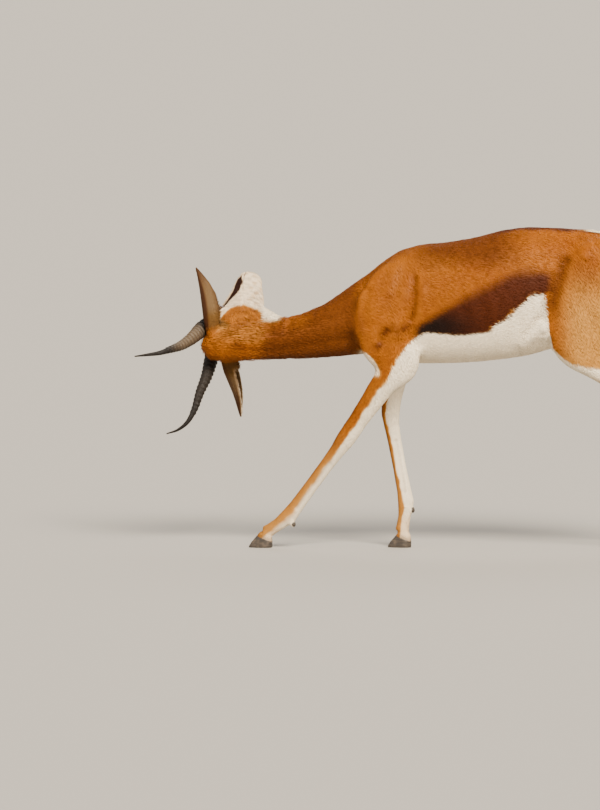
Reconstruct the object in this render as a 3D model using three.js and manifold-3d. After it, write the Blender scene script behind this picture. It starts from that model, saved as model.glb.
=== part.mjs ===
import * as THREE from "three";
import { mergeVertices } from "three/addons/utils/BufferGeometryUtils.js";
import Module from "manifold-3d";

// A springbok ram in a low fighting stance, at life size, in millimetres.
// The ram faces -X, its left side faces -Y, and +Z is up. Floor at z = 0.

const wasm = await Module();
wasm.setup();

// Driving sizes of the animal
const withersHeight = 733;
const chestFloor = 446;
const chestHalfWidth = 104;
const loinHeight = 773;
const rumpX = 650;
const headLength = 280;
const earLength = 168;
const hornBaseRadius = 21;
const eyeRadius = 14.5;
const lidThickness = 3.6;
const tailLength = 235;
const hoofHeight = 30;
const hoofLength = 56;
const coronetHeight = 24;
const coronetSlope = 0.4;
const clawWidth = 17;
const clawGap = 3;
const seam = 0.3;

// Where the upper leg is parted from the lower one, along the bone, and how wide the cut is
const elbowSplit = { place: 0.16, width: 220 };
const stifleSplit = { place: 0.5, width: 140 };

// Joints of the four legs: elbow or stifle, carpus or hock, fetlock, foot
const legJoints = {
  foreLeft: [[-10, -70, 438], [-129, -44, 264], [-272, -6, 72], [-332, 4, 30]],
  foreRight: [[6, 78, 500], [-31, 62, 320], [11, 44, 104], [0, 38, 28]],
  hindLeft: [[405, -68, 488], [616, -78, 338], [652, -76, 93], [634, -76, 29]],
  hindRight: [[430, 68, 482], [650, 78, 332], [721, 74, 92], [701, 74, 29]],
};

// Where the head sits on the neck and how it is turned
const headOrigin = new THREE.Vector3(-421, 10, 480);
const headForward = new THREE.Vector3(0.08, 0.8, 0.6).normalize();
const headCrown = new THREE.Vector3(-0.96, 0.23, -0.14);
headCrown.addScaledVector(headForward, -headCrown.dot(headForward)).normalize();
const headLeft = new THREE.Vector3().crossVectors(headCrown, headForward);
const headMatrix = new THREE.Matrix4().makeBasis(headForward, headLeft, headCrown).setPosition(headOrigin);

const coats = {
  fawn: { color: 0xb8722e, roughness: 0.85 },
  white: { color: 0xe9dfd0, roughness: 0.85 },
  grey: { color: 0x9c8a70, roughness: 0.85 },
  horn: { color: 0x35302c, roughness: 0.5 },
  hoof: { color: 0x2c2825, roughness: 0.45 },
  eye: { color: 0x120c08, roughness: 0.1 },
};

const vec = (point) => new THREE.Vector3(...point);

// Slopes of a smooth curve through rows of numbers that never overshoots them
function smoothSlopes(knots, values) {
  const last = values.length - 1;
  const chords = knots.slice(1).map((knot, i) => (values[i + 1] - values[i]) / (knot - knots[i]));
  return values.map((value, i) => {
    if (i === 0) return chords[0];
    if (i === last) return chords[last - 1];
    const before = chords[i - 1];
    const after = chords[i];
    if (before * after <= 0) return 0;
    const near = knots[i] - knots[i - 1];
    const far = knots[i + 1] - knots[i];
    const weightA = 2 * far + near;
    const weightB = far + 2 * near;
    return (weightA + weightB) / (weightA / before + weightB / after);
  });
}

// Rows of numbers at even steps between the given rows
function refineRows(rows, steps) {
  const knots = [0];
  for (let i = 1; i < rows.length; i++) {
    const step = Math.hypot(...[0, 1, 2].map((axis) => rows[i][axis] - rows[i - 1][axis]));
    knots.push(knots[i - 1] + step);
  }
  const columns = rows[0].map((value, column) => rows.map((row) => row[column]));
  const slopes = columns.map((column) => smoothSlopes(knots, column));
  const fine = [];
  for (let i = 0; i < rows.length - 1; i++) {
    const width = knots[i + 1] - knots[i];
    for (let step = 0; step < steps; step++) {
      const t = step / steps;
      const h00 = (1 + 2 * t) * (1 - t) ** 2;
      const h10 = t * (1 - t) ** 2;
      const h01 = t * t * (3 - 2 * t);
      const h11 = t * t * (t - 1);
      fine.push(columns.map((column, k) => h00 * column[i] + h01 * column[i + 1]
        + width * (h10 * slopes[k][i] + h11 * slopes[k][i + 1])));
    }
  }
  fine.push([...rows[rows.length - 1]]);
  return fine;
}

// Closed surface through rings of points, each end closed by a fan
function tube(rings) {
  const sides = rings[0].length;
  const points = rings.flat();
  const first = points.length;
  for (const ring of [rings[0], rings[rings.length - 1]]) {
    const middle = ring.reduce((sum, point) => sum.add(point), new THREE.Vector3());
    points.push(middle.divideScalar(sides));
  }
  const faces = [];
  for (let i = 0; i < rings.length - 1; i++) {
    for (let k = 0; k < sides; k++) {
      const a = i * sides + k;
      const b = i * sides + (k + 1) % sides;
      faces.push(a, a + sides, b + sides, a, b + sides, b);
    }
  }
  const end = (rings.length - 1) * sides;
  for (let k = 0; k < sides; k++) {
    const next = (k + 1) % sides;
    faces.push(first, k, next);
    faces.push(first + 1, end + next, end + k);
  }
  const geometry = new THREE.BufferGeometry().setFromPoints(points);
  geometry.setIndex(faces);
  return geometry;
}

// Smooth body through stations [x, y, z, up, down, side, crownShape, keelShape]
function loft(stations, { sides = 24, steps = 2, side = [0, 1, 0], along = null, grow = 0 } = {}) {
  const rows = refineRows(stations.map((row) => [...row, 2, 2].slice(0, 8)), steps);
  const centres = rows.map((row) => vec(row.slice(0, 3)));
  const last = rows.length - 1;
  const rings = rows.map((row, i) => {
    const tangent = along ? vec(along)
      : centres[Math.min(i + 1, last)].clone().sub(centres[Math.max(i - 1, 0)]);
    tangent.normalize();
    const across = vec(side).addScaledVector(tangent, -vec(side).dot(tangent)).normalize();
    const up = new THREE.Vector3().crossVectors(across, tangent);
    const centre = centres[i].clone();
    if (i === 0) centre.addScaledVector(tangent, -grow);
    if (i === last) centre.addScaledVector(tangent, grow);
    return Array.from({ length: sides }, (unused, k) => {
      const angle = 2 * Math.PI * k / sides;
      const c = Math.cos(angle);
      const s = Math.sin(angle);
      const power = 2 / (s >= 0 ? row[6] : row[7]);
      const reachUp = (s >= 0 ? row[3] : row[4]) + grow;
      return centre.clone()
        .addScaledVector(across, (row[5] + grow) * Math.sign(c) * Math.abs(c) ** power)
        .addScaledVector(up, reachUp * Math.sign(s) * Math.abs(s) ** power);
    });
  });
  return solid(tube(rings));
}

// Solid for cutting and joining from a closed surface with shared corners
function solid(geometry) {
  let source = geometry.clone();
  source.deleteAttribute("normal");
  source.deleteAttribute("uv");
  source = mergeVertices(source, 1e-4);
  const position = source.getAttribute("position");
  const index = Array.from(source.index.array);
  const corner = [new THREE.Vector3(), new THREE.Vector3(), new THREE.Vector3()];
  let volume = 0;
  for (let t = 0; t < index.length; t += 3) {
    corner.forEach((point, k) => point.fromBufferAttribute(position, index[t + k]));
    volume += corner[0].dot(corner[1].clone().cross(corner[2]));
  }
  if (volume < 0) index.reverse();
  return new wasm.Manifold(new wasm.Mesh({
    numProp: 3,
    vertProperties: new Float32Array(position.array),
    triVerts: new Uint32Array(index),
  }));
}

function moved(body, matrix) {
  return solid(surface(body).applyMatrix4(matrix));
}

function surface(body) {
  const mesh = body.getMesh();
  const geometry = new THREE.BufferGeometry();
  geometry.setAttribute("position", new THREE.BufferAttribute(new Float32Array(mesh.vertProperties), 3));
  geometry.setIndex(Array.from(mesh.triVerts));
  return geometry;
}

const join = (...bodies) => bodies.reduce((whole, body) => whole.add(body));
const cut = (body, ...tools) => tools.reduce((rest, tool) => rest.subtract(tool), body);

function largest(body) {
  return body.decompose().sort((a, b) => b.volume() - a.volume())[0];
}

// Thin plate across a body, square to the given direction
function plate(centre, normal, width, height = width, thickness = seam) {
  const geometry = new THREE.BoxGeometry(width, height, thickness);
  const turn = new THREE.Quaternion().setFromUnitVectors(new THREE.Vector3(0, 0, 1), vec(normal).normalize());
  geometry.applyMatrix4(new THREE.Matrix4().compose(vec(centre), turn, new THREE.Vector3(1, 1, 1)));
  return solid(geometry);
}

function middleOf(body) {
  const box = body.boundingBox();
  return vec(box.min).add(vec(box.max)).multiplyScalar(0.5);
}

// The piece of a cut body whose middle is nearest to a place
function pieceNear(pieces, place) {
  const distance = (body) => middleOf(body).distanceTo(vec(place));
  return pieces.reduce((best, body) => (distance(body) < distance(best) ? body : best));
}

function namedMesh(name, body, coat) {
  const geometry = surface(largest(body));
  geometry.computeVertexNormals();
  const mesh = new THREE.Mesh(geometry, new THREE.MeshStandardMaterial({ ...coats[coat], metalness: 0 }));
  mesh.name = name;
  return mesh;
}

// Trunk from breast to rump: x, top, bottom, half width, widest level
function torsoBody() {
  const trunk = [
    [-130, 608, 482, 44, 545],
    [-85, 656, 468, 66, 560],
    [-40, 693, 452, 82, 570],
    [0, 719, chestFloor, 91, 574],
    [50, withersHeight, chestFloor - 2, 97, 578],
    [110, withersHeight + 5, chestFloor - 1, 103, 584],
    [180, 750, chestFloor + 2, chestHalfWidth + 4, 591],
    [245, 768, 455, chestHalfWidth + 5, 598],
    [305, loinHeight + 3, 464, chestHalfWidth, 607],
    [370, loinHeight + 1, 483, 92, 620],
    [440, 770, 508, 86, 636],
    [510, 762, 528, 84, 650],
    [570, 744, 550, 76, 652],
    [618, 710, 572, 58, 646],
    [rumpX - 6, 668, 598, 32, 634],
  ];
  const stations = trunk.map(([x, top, bottom, half, level]) =>
    [x, 0, level, top - level, level - bottom, half, 1.85, 2.1]);
  return loft(stations, { sides: 24, steps: 1, side: [0, -1, 0], along: [1, 0, 0] });
}

// Neck from the chest to the poll: centre line, half height above and below, half width
function neckBody() {
  const stations = [
    [-10, 0, 566, 98, 90, 66],
    [-66, 0, 556, 100, 88, 70],
    [-118, 0, 538, 82, 76, 65],
    [-168, 2, 524, 66, 67, 60],
    [-232, 5, 510, 54, 57, 55],
    [-281, 8, 504, 50, 52, 52],
    [-330, 10, 498, 48, 47, 52],
    [-384, 14, 493, 47, 45, 51],
    [-426, 20, 487, 47, 44, 47],
    [-458, 26, 486, 40, 35, 39],
    [-477, 28, 492, 25, 18, 26],
  ];
  return loft(stations, { sides: 24, steps: 1 });
}

// Fold of the throat from the neck up to the angle of the jaw
function throatBody() {
  const jaw = new THREE.Vector3(134, 0, -48).applyMatrix4(headMatrix);
  const stations = [
    [-256, 16, 508, 34, 36, 34],
    [-314, 54, 536, 26, 40, 27],
    [jaw.x, jaw.y, jaw.z, 20, 24, 20],
  ];
  return loft(stations, { sides: 14, steps: 2 });
}

// Muscle over a shoulder, from the withers to the elbow, raised on the straight leg
function shoulderStations(sideSign, elbow) {
  const lift = (elbow[2] - 438) * 0.6;
  const rows = [
    [8, 26, 702, 10, 5],
    [2, 37, 680, 32, 14],
    [-14, 53, 645, 54, 22],
    [-32, 68, 591, 73, 27],
    [-36, 72, 531, 77, 28],
    [-26, 71, 478, 59, 27],
    [elbow[0] - 2, 68, 438, 38, 25],
    [elbow[0], 68, 420, 20, 16],
  ];
  return rows.map(([x, out, z, half, thick], i) => {
    const share = i / (rows.length - 1);
    const height = z + lift * share * share;
    return [x, sideSign * out, height, half, half, thick];
  });
}

// Muscle of a thigh, from the hip to the stifle
function thighStations(sideSign, stifle) {
  const shift = stifle[0] - 418;
  const rows = [
    [500, 34, 752, 30, 30, 10],
    [500, 46, 732, 74, 74, 22],
    [500, 56, 700, 108, 108, 33],
    [504, 62, 654, 130, 132, 38],
    [500, 66, 603, 135, 137, 38],
    [482, 67, 553, 132, 124, 38],
    [450, 69, 512, 98, 98, 36],
    [428, 70, 483, 66, 72, 33],
    [422, 70, 464, 38, 44, 24],
  ];
  const blunt = 2.5;
  return rows.map(([x, out, z, front, back, thick], i) => {
    const share = i / (rows.length - 1);
    return [x + shift * share * share, sideSign * out, z, front, back, thick, blunt, blunt];
  });
}

// Limb below the elbow or stifle: place along the joints, front, back and side half sizes
const foreProfile = [
  [-0.34, 14, 28, 14],
  [-0.2, 28, 50, 22],
  [-0.02, 34, 55, 25],
  [0.1, 34, 44, 25],
  [0.25, 31, 32, 24],
  [0.5, 26, 27, 21],
  [0.75, 23, 23, 18],
  [0.9, 23, 23.5, 18],
  [1, 22, 23, 18.5],
  [1.12, 18, 20, 16],
  [1.3, 16, 17.5, 13.5],
  [1.6, 15, 17, 12.5],
  [1.85, 15.5, 18.5, 13.5],
  [2, 17.5, 21, 16],
  [2.35, 14, 15.5, 14],
  [2.65, 14, 15, 14.5],
  [2.85, 16, 16, 17],
];
const hindProfile = [
  [-0.12, 20, 30, 20],
  [-0.02, 34, 54, 32],
  [0.12, 37, 56, 34],
  [0.26, 30, 54, 33],
  [0.42, 24, 46, 29],
  [0.68, 20, 33, 21],
  [0.88, 19, 32, 17],
  [1, 19, 35, 17],
  [1.12, 18, 25, 16],
  [1.28, 16, 18, 13.5],
  [1.6, 15, 17, 12.5],
  [1.88, 15.5, 18.5, 13.5],
  [2, 17.5, 21, 16],
  [2.35, 14, 15.5, 14],
  [2.65, 14, 15, 14.5],
  [2.85, 16, 16, 17],
];

// Point on the line through the joints, rounded a little at each joint
function jointPoint(joints, place) {
  const reach = 0.12;
  const at = (value) => {
    const i = THREE.MathUtils.clamp(Math.floor(value), 0, joints.length - 2);
    return vec(joints[i]).lerp(vec(joints[i + 1]), value - i);
  };
  const joint = Math.round(place);
  const off = place - joint;
  if (joint < 1 || joint > joints.length - 2 || Math.abs(off) > reach) return at(place);
  const share = (off + reach) / (2 * reach);
  const before = at(joint - reach);
  const after = at(joint + reach);
  const inner = before.clone().lerp(vec(joints[joint]), share);
  return inner.lerp(vec(joints[joint]).lerp(after, share), share);
}

function limbBody(joints, profile, grow = 0) {
  const stations = profile.map(([place, front, back, thick]) => {
    const point = jointPoint(joints, place);
    return [point.x, point.y, point.z, front, back, thick, 2.2, 2.2];
  });
  return loft(stations, { sides: 14, steps: 1, grow });
}

function muscleBody(stations, grow = 0) {
  return loft(stations, { sides: 17, steps: 1, grow });
}

// One claw of a hoof: flat sole at z = 0, pointed toe towards -X, inner wall flat
function clawBody(foot, clawSide) {
  const levels = [
    [0, 1, 1, 0],
    [4, 1.01, 1.04, 0],
    [14, 0.9, 1, 3],
    [hoofHeight - 2, 0.64, 0.9, 8],
    [hoofHeight + 8, 0.42, 0.66, 9],
  ];
  const sides = 14;
  const rings = levels.map(([z, long, wide, back]) => Array.from({ length: sides }, (unused, k) => {
    const angle = 2 * Math.PI * k / sides;
    const toe = Math.cos(angle);
    const out = Math.sin(angle) * clawSide;
    const taper = 1 - 0.38 * toe;
    const reach = (out > 0 ? 0.62 : 0.38) * clawWidth * wide;
    const x = foot[0] + back - 4 - toe * hoofLength * 0.5 * long;
    const y = foot[1] + clawSide * (clawGap / 2 + 0.38 * clawWidth) + clawSide * out * reach * taper;
    return new THREE.Vector3(x, y, z);
  }));
  return solid(tube(rings));
}

// Small horny dewclaw behind the fetlock
function dewclawBody(fetlock, clawSide) {
  const stations = [
    [fetlock[0] + 9, fetlock[1] + clawSide * 8, fetlock[2] - 8, 7, 7, 6],
    [fetlock[0] + 15, fetlock[1] + clawSide * 8.5, fetlock[2] - 15, 6, 5, 5],
    [fetlock[0] + 17, fetlock[1] + clawSide * 8.5, fetlock[2] - 22, 3, 2, 2.5],
  ];
  return loft(stations, { sides: 8, steps: 1 });
}

// A whole leg parted at its joints into upper leg, lower leg, foot and two claws
function legPieces(joints, muscle, profile, split) {
  const [top, knee, fetlock, foot] = joints;
  const claws = [-1, 1].map((clawSide) => clawBody(foot, clawSide));
  const dewclaws = [-1, 1].map((clawSide) => dewclawBody(fetlock, clawSide));
  const whole = join(muscleBody(muscle), limbBody(joints, profile), ...dewclaws, ...claws);
  const down = (from, to) => vec(to).sub(vec(from)).toArray();
  const topCut = jointPoint(joints, split.place);
  const kneeCut = jointPoint(joints, 1.16);
  const tools = [
    plate(topCut.toArray(), down(top, knee), split.width),
    plate(kneeCut.toArray(), down(knee, fetlock), 120),
    plate([foot[0] + 2, foot[1], coronetHeight], [coronetSlope, 0, 1], 100),
    plate([foot[0], foot[1], hoofHeight / 2 - 4], [0, 1, 0], 120, hoofHeight + 7, clawGap),
  ];
  return { whole: cut(whole, ...tools), topCut, kneeCut };
}

// Head in its own frame: x forward from the back of the skull, y left, z towards the crown
const skullProfile = [
  [-12, 30, 38, 26],
  [10, 50, 60, 38],
  [40, 60, 72, 44],
  [70, 59, 76, 45],
  [95, 51, 78, 44],
  [120, 42, 79, 38],
  [150, 33, 74, 31],
  [180, 26, 68, 27],
  [210, 19, 60, 25],
  [238, 12, 53, 23.5],
  [256, 5, 45, 19],
  [265, 0, 38, 14],
  [headLength - 9, -7, 25, 6],
];
const crownShape = 2.1;
const keelShape = 1.8;
const skullLevel = (top, bottom) => (top - bottom) / 2 + 4;

function skullBody() {
  const stations = skullProfile.map(([x, top, bottom, half]) => {
    const level = skullLevel(top, bottom);
    return [x, 0, level, top - level, level + bottom, half, crownShape, keelShape];
  });
  return loft(stations, { sides: 24, steps: 1, side: [0, -1, 0], along: [1, 0, 0] });
}

// Half width of the skull at a place along it and a height
function skullSide(x, z) {
  const i = Math.max(1, skullProfile.findIndex((row) => row[0] >= x));
  const share = (x - skullProfile[i - 1][0]) / (skullProfile[i][0] - skullProfile[i - 1][0]);
  const [top, bottom, half] = [1, 2, 3].map((k) =>
    THREE.MathUtils.lerp(skullProfile[i - 1][k], skullProfile[i][k], share));
  const level = skullLevel(top, bottom);
  const above = z > level;
  const shape = above ? crownShape : keelShape;
  const reach = Math.abs(z - level) / (above ? top - level : level + bottom);
  return half * Math.sqrt(Math.max(0, 1 - reach ** shape)) ** (2 / shape);
}

function ball(centre, radius, across = 14, down = 9) {
  const geometry = new THREE.SphereGeometry(radius, across, down);
  return solid(geometry.translate(...centre));
}

const eyePlace = (sideSign) => [106, sideSign * 28.5, 20];

// Lids: a shell round the eyeball, open in an almond slit
function almond(sideSign) {
  const shape = new THREE.Shape();
  shape.moveTo(-14, -2);
  shape.quadraticCurveTo(-2, 12.5, 13, -1);
  shape.quadraticCurveTo(0, -10.5, -14, -2);
  const slit = new THREE.ExtrudeGeometry(shape, { depth: 24, bevelEnabled: false, curveSegments: 6 });
  slit.rotateX(Math.PI / 2);
  if (sideSign > 0) slit.rotateX(Math.PI).scale(1, 1, -1);
  const place = eyePlace(sideSign);
  return solid(slit.translate(place[0], place[1] + sideSign * 8, place[2]));
}

// Each ear: foot, tip, the way its cup opens, how far it bows down, and its depth and width against the leaf
const ears = {
  left: { base: [20, 36, 12], tip: [-22, 190, 20], opening: [0, 0.15, -0.99], bow: 10, deep: 1.35, wide: 0.85 },
  right: { base: [8, -36, 24], tip: [106, -187, 36], opening: [0.8, 0.45, 0.15], bow: 14, deep: 1, wide: 1 },
};

// Ear as a tapered leaf, hollowed towards its opening
function earBody(ear, grow = 0) {
  const { bow, deep, wide } = ear;
  const [base, tip, opening] = [ear.base, ear.tip, ear.opening].map(vec);
  const axis = tip.clone().sub(base).normalize();
  const side = new THREE.Vector3().crossVectors(axis, opening).normalize();
  const front = new THREE.Vector3().crossVectors(side, axis);
  const leaf = [
    [0, 16, 15, 13],
    [0.12, 16, 16, 17],
    [0.26, 13, 17, 20],
    [0.42, 10.5, 15.5, 20.5],
    [0.58, 9, 12.5, 18.5],
    [0.74, 6.5, 9, 13.5],
    [0.88, 3.6, 5.4, 7],
    [1, 1.2, 1.8, 1.5],
  ].map(([t, open, back, half]) => [t, open * deep, back * deep, half * wide]);
  const spot = (t, forward) => base.clone().addScaledVector(axis, earLength * t)
    .addScaledVector(front, forward)
    .add(new THREE.Vector3(0, 0, -bow * Math.sin(Math.PI * t ** 1.1))).toArray();
  const hull = loft(leaf.map(([t, open, back, half]) => [...spot(t, 0), open, back, half]),
    { sides: 16, steps: 1, side: side.toArray(), grow });
  if (grow > 0) return hull;
  const wall = 3;
  const hollow = leaf.slice(2, 7).map(([t, open, back, half]) =>
    [...spot(t, 0), open + 14, back - wall, half - wall * 0.9]);
  hollow.unshift([...spot(0.2, 6), 8, 6, 8]);
  return cut(hull, loft(hollow, { sides: 12, steps: 1, side: side.toArray() }));
}

// Horn line in the head frame, for the left side
function hornCurve(sideSign) {
  const line = [
    [74, 22, 30], [36, 39, 51], [-22, 59, 64], [-62, 74, 79],
    [-98, 95, 94], [-124, 110, 112], [-137, 120, 138], [-141, 124, 168],
  ];
  return new THREE.CatmullRomCurve3(line.map(([x, y, z]) => new THREE.Vector3(x, sideSign * y, z)));
}

// Ringed horn: each ring swells and falls back, and the last third is smooth
function hornBody(sideSign, plain = false, grow = 0) {
  const curve = hornCurve(sideSign);
  const rings = 13;
  const ringedPart = 0.66;
  const stations = [];
  const add = (t, radius) => {
    const point = curve.getPointAt(t);
    stations.push([point.x, point.y, point.z, radius, radius, radius * 0.9]);
  };
  const radiusAt = (t) => hornBaseRadius * (1 - 0.93 * t);
  const swell = 2.2;
  const socketRoom = 0.8;
  if (plain) {
    for (const t of [0, 0.06, 0.12, 0.18, 0.24, 0.3, 0.36]) add(t, radiusAt(t) + swell + socketRoom);
    return loft(stations, { sides: 12, steps: 1, side: [0.5, sideSign, 0], grow });
  }
  for (let i = 0; i < rings; i++) {
    const t = ringedPart * i / rings;
    const width = ringedPart / rings;
    add(t, radiusAt(t));
    add(t + width * 0.5, radiusAt(t) + swell * (1 - 0.6 * i / rings));
  }
  for (const t of [0.66, 0.74, 0.82, 0.9, 0.96]) add(t, radiusAt(t));
  add(1, 1.2);
  return loft(stations, { sides: 12, steps: 1, side: [0.5, sideSign, 0] });
}

// Line of the mouth from the front of the muzzle to its corner, the same on both sides
const mouthLine = [[262, -15], [246, -15.5], [222, -15.5], [196, -18], [172, -24]];
const mouthHalfHeight = 0.9;
const lipHalfHeight = 2.7;
const lipThickness = [2.2, 2.6, 2.8, 2.6, 1.4];
const lipSink = 0.4;

// One lip: a low roll round the muzzle, above or below the line of the mouth
function lipBody(upSign) {
  const thickest = Math.max(...lipThickness);
  const side = mouthLine.map(([x, z], i) => {
    const height = z + upSign * (mouthHalfHeight + lipHalfHeight * 0.7);
    const thick = lipThickness[i];
    return { x, z: height, y: skullSide(x, height) - lipSink * thick, thick };
  });
  const front = { x: headLength - 10, y: 0, z: side[0].z + 1, thick: 2 };
  const path = [...[...side].reverse(), front, ...side.map((spot) => ({ ...spot, y: -spot.y }))];
  const stations = path.map(({ x, y, z, thick }) =>
    [x, y, z, thick, thick, lipHalfHeight * thick / thickest]);
  return loft(stations, { sides: 6, steps: 1, side: [0, 0, 1] });
}

// Line of the mouth, pressed into each side of the muzzle
function mouthCut() {
  const outline = new THREE.Shape();
  outline.moveTo(mouthLine[0][0], mouthLine[0][1] + mouthHalfHeight);
  mouthLine.slice(1).forEach(([x, z]) => outline.lineTo(x, z + mouthHalfHeight));
  [...mouthLine].reverse().forEach(([x, z]) => outline.lineTo(x, z - mouthHalfHeight));
  const blade = new THREE.ExtrudeGeometry(outline, { depth: 80, bevelEnabled: false });
  blade.rotateX(Math.PI / 2).translate(0, 40, 0);
  const core = loft([
    [150, 0, -20, 30, 30, 26],
    [200, 0, -18, 30, 30, 20],
    [235, 0, -14, 30, 30, 18],
    [256, 0, -14, 30, 30, 9],
  ], { sides: 12, steps: 1, side: [0, -1, 0], along: [1, 0, 0] });
  return cut(solid(blade), core);
}

function nostrilCut(sideSign) {
  const stations = [
    [238, sideSign * 19, 0, 2, 2, 5],
    [246, sideSign * 16, -1, 3.2, 3.2, 6],
    [254, sideSign * 11, -4, 3, 3, 5],
    [258, sideSign * 7, -8, 1.5, 1.5, 3],
  ];
  return loft(stations, { sides: 8, steps: 1, side: [0, -1, 0], along: [1, 0, 0] });
}

// Head, neck and throat modelled whole, then parted by one thin cut behind the jaw
function headAndNeck() {
  const sideSigns = [1, -1];
  let skull = join(skullBody(), lipBody(1), lipBody(-1));
  for (const sideSign of sideSigns) {
    const orbit = ball([102, sideSign * 20, 20], 25);
    skull = skull.add(join(orbit, ball(eyePlace(sideSign), eyeRadius + lidThickness)));
  }
  const whole = join(moved(skull, headMatrix), neckBody(), throatBody());
  const normal = headForward.clone().add(headCrown);
  const place = new THREE.Vector3(-16, 0, -16).applyMatrix4(headMatrix);
  const pieces = whole.subtract(plate(place.toArray(), normal.toArray(), 440)).decompose();
  const headPlace = new THREE.Vector3(110, 0, -5).applyMatrix4(headMatrix);
  const head = pieceNear(pieces, headPlace.toArray());
  const neck = pieceNear(pieces, [-200, 0, 560]);
  const local = moved(largest(head), headMatrix.clone().invert());
  const tools = [mouthCut()];
  for (const sideSign of sideSigns) {
    tools.push(ball(eyePlace(sideSign), eyeRadius + seam), almond(sideSign), nostrilCut(sideSign));
    tools.push(hornBody(sideSign, true, seam));
  }
  tools.push(earBody(ears.left, seam), earBody(ears.right, seam));
  return { head: cut(local, ...tools), neck };
}

// Tail hanging behind the rump, with a tuft of tapered locks at its end
function tailBody(grow = 0) {
  const rootX = rumpX - 20;
  const stem = [
    [rootX, 0, 672, 17, 17, 16],
    [rootX + 26, 0, 662, 15, 15, 15],
    [rootX + 44, 0, 630, 13, 13, 13],
    [rootX + 52, 0, 580, 11, 11, 11],
    [rootX + 55, 0, 520, 9, 9, 9],
    [rootX + 56, 0, 672 - tailLength * 0.86, 5, 5, 5],
  ];
  const core = loft(stem, { sides: 12, steps: 1, grow });
  if (grow > 0) return core;
  const locks = 8;
  let tail = core;
  for (let i = 0; i < locks; i++) {
    const angle = 2 * Math.PI * i / locks;
    const rootZ = 560 - 8 * (i % 4);
    const long = 82 + 9 * (i % 3);
    const out = (t) => 5 + 9 * Math.sin(Math.PI * Math.min(1, t * 1.1)) - 2 * t;
    const rows = [0, 0.3, 0.6, 0.85, 1].map((t) => {
      const wide = [4, 6, 5.5, 3.2, 0.8][Math.round(t * 4)];
      return [rootX + 54 + Math.cos(angle) * out(t), Math.sin(angle) * out(t), rootZ - long * t,
        wide * 0.5, wide * 0.5, wide];
    });
    tail = tail.add(loft(rows, { sides: 5, steps: 1, side: [-Math.sin(angle), Math.cos(angle), 0] }));
  }
  return tail;
}

// Assembly
const legs = {};
const sockets = [tailBody(seam)];
for (const [legName, joints] of Object.entries(legJoints)) {
  const sideSign = joints[0][1] > 0 ? 1 : -1;
  const fore = legName.startsWith("fore");
  const muscle = fore ? shoulderStations(sideSign, joints[0]) : thighStations(sideSign, joints[0]);
  const profile = fore ? foreProfile : hindProfile;
  legs[legName] = legPieces(joints, muscle, profile, fore ? elbowSplit : stifleSplit);
  sockets.push(muscleBody(muscle, seam), limbBody(joints, profile, seam));
}
const { head, neck } = headAndNeck();
const neckPlate = plate([-118, 0, 540], [1, 0, 0], 260, 240);
const trunk = join(torsoBody(), neck).subtract(neckPlate);
const trunkPieces = trunk.decompose();

const springbok = new THREE.Group();
springbok.add(namedMesh("torso", cut(pieceNear(trunkPieces, [260, 0, 600]), ...sockets), "fawn"));
springbok.add(namedMesh("neck", cut(pieceNear(trunkPieces, [-270, 0, 520]), ...sockets), "fawn"));
springbok.add(namedMesh("tail", tailBody(), "white"));

for (const [legName, { whole, topCut, kneeCut }] of Object.entries(legs)) {
  const joints = legJoints[legName];
  const pieces = whole.decompose();
  const place = legName.startsWith("fore") ? "fore" : "hind";
  const label = `${place}_${legName.slice(4).toLowerCase()}`;
  const upper = pieces.reduce((a, b) => (a.volume() > b.volume() ? a : b));
  const rest = pieces.filter((body) => body !== upper && body.volume() > 500);
  const lower = pieceNear(rest, topCut.clone().lerp(kneeCut, 0.5).toArray());
  const footPlace = kneeCut.clone().lerp(vec(joints[3]), 0.5);
  const foot = pieceNear(rest.filter((body) => body !== lower), footPlace.toArray());
  const claws = rest.filter((body) => body !== lower && body !== foot);
  claws.sort((a, b) => middleOf(a).y - middleOf(b).y);
  springbok.add(namedMesh(`${label}_${place === "fore" ? "shoulder" : "thigh"}`, upper, "fawn"));
  springbok.add(namedMesh(`${label}_${place === "fore" ? "forearm" : "shank"}`, lower, "white"));
  springbok.add(namedMesh(`${label}_cannon`, foot, "white"));
  claws.forEach((claw, i) => springbok.add(namedMesh(`${label}_claw_${i + 1}`, claw, "hoof")));
}

const headGroup = new THREE.Group();
headGroup.applyMatrix4(headMatrix);
headGroup.add(namedMesh("head", head, "white"));
headGroup.add(namedMesh("ear_left", earBody(ears.left), "grey"));
headGroup.add(namedMesh("ear_right", earBody(ears.right), "grey"));
for (const [sideName, sideSign] of [["left", 1], ["right", -1]]) {
  headGroup.add(namedMesh(`horn_${sideName}`, hornBody(sideSign), "horn"));
  headGroup.add(namedMesh(`eye_${sideName}`, ball(eyePlace(sideSign), eyeRadius), "eye"));
}
springbok.add(headGroup);

// Origin under the middle of the animal, on the floor
springbok.updateMatrixWorld(true);
const bounds = new THREE.Box3().setFromObject(springbok, true);
const middle = bounds.getCenter(new THREE.Vector3());
springbok.position.set(-middle.x, -middle.y, -bounds.min.z);

export const shift = springbok.position.clone();
export default springbok;
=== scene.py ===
import math
from types import SimpleNamespace

import bmesh
import bpy
import numpy as np
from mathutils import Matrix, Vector
from mathutils.bvhtree import BVHTree


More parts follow.
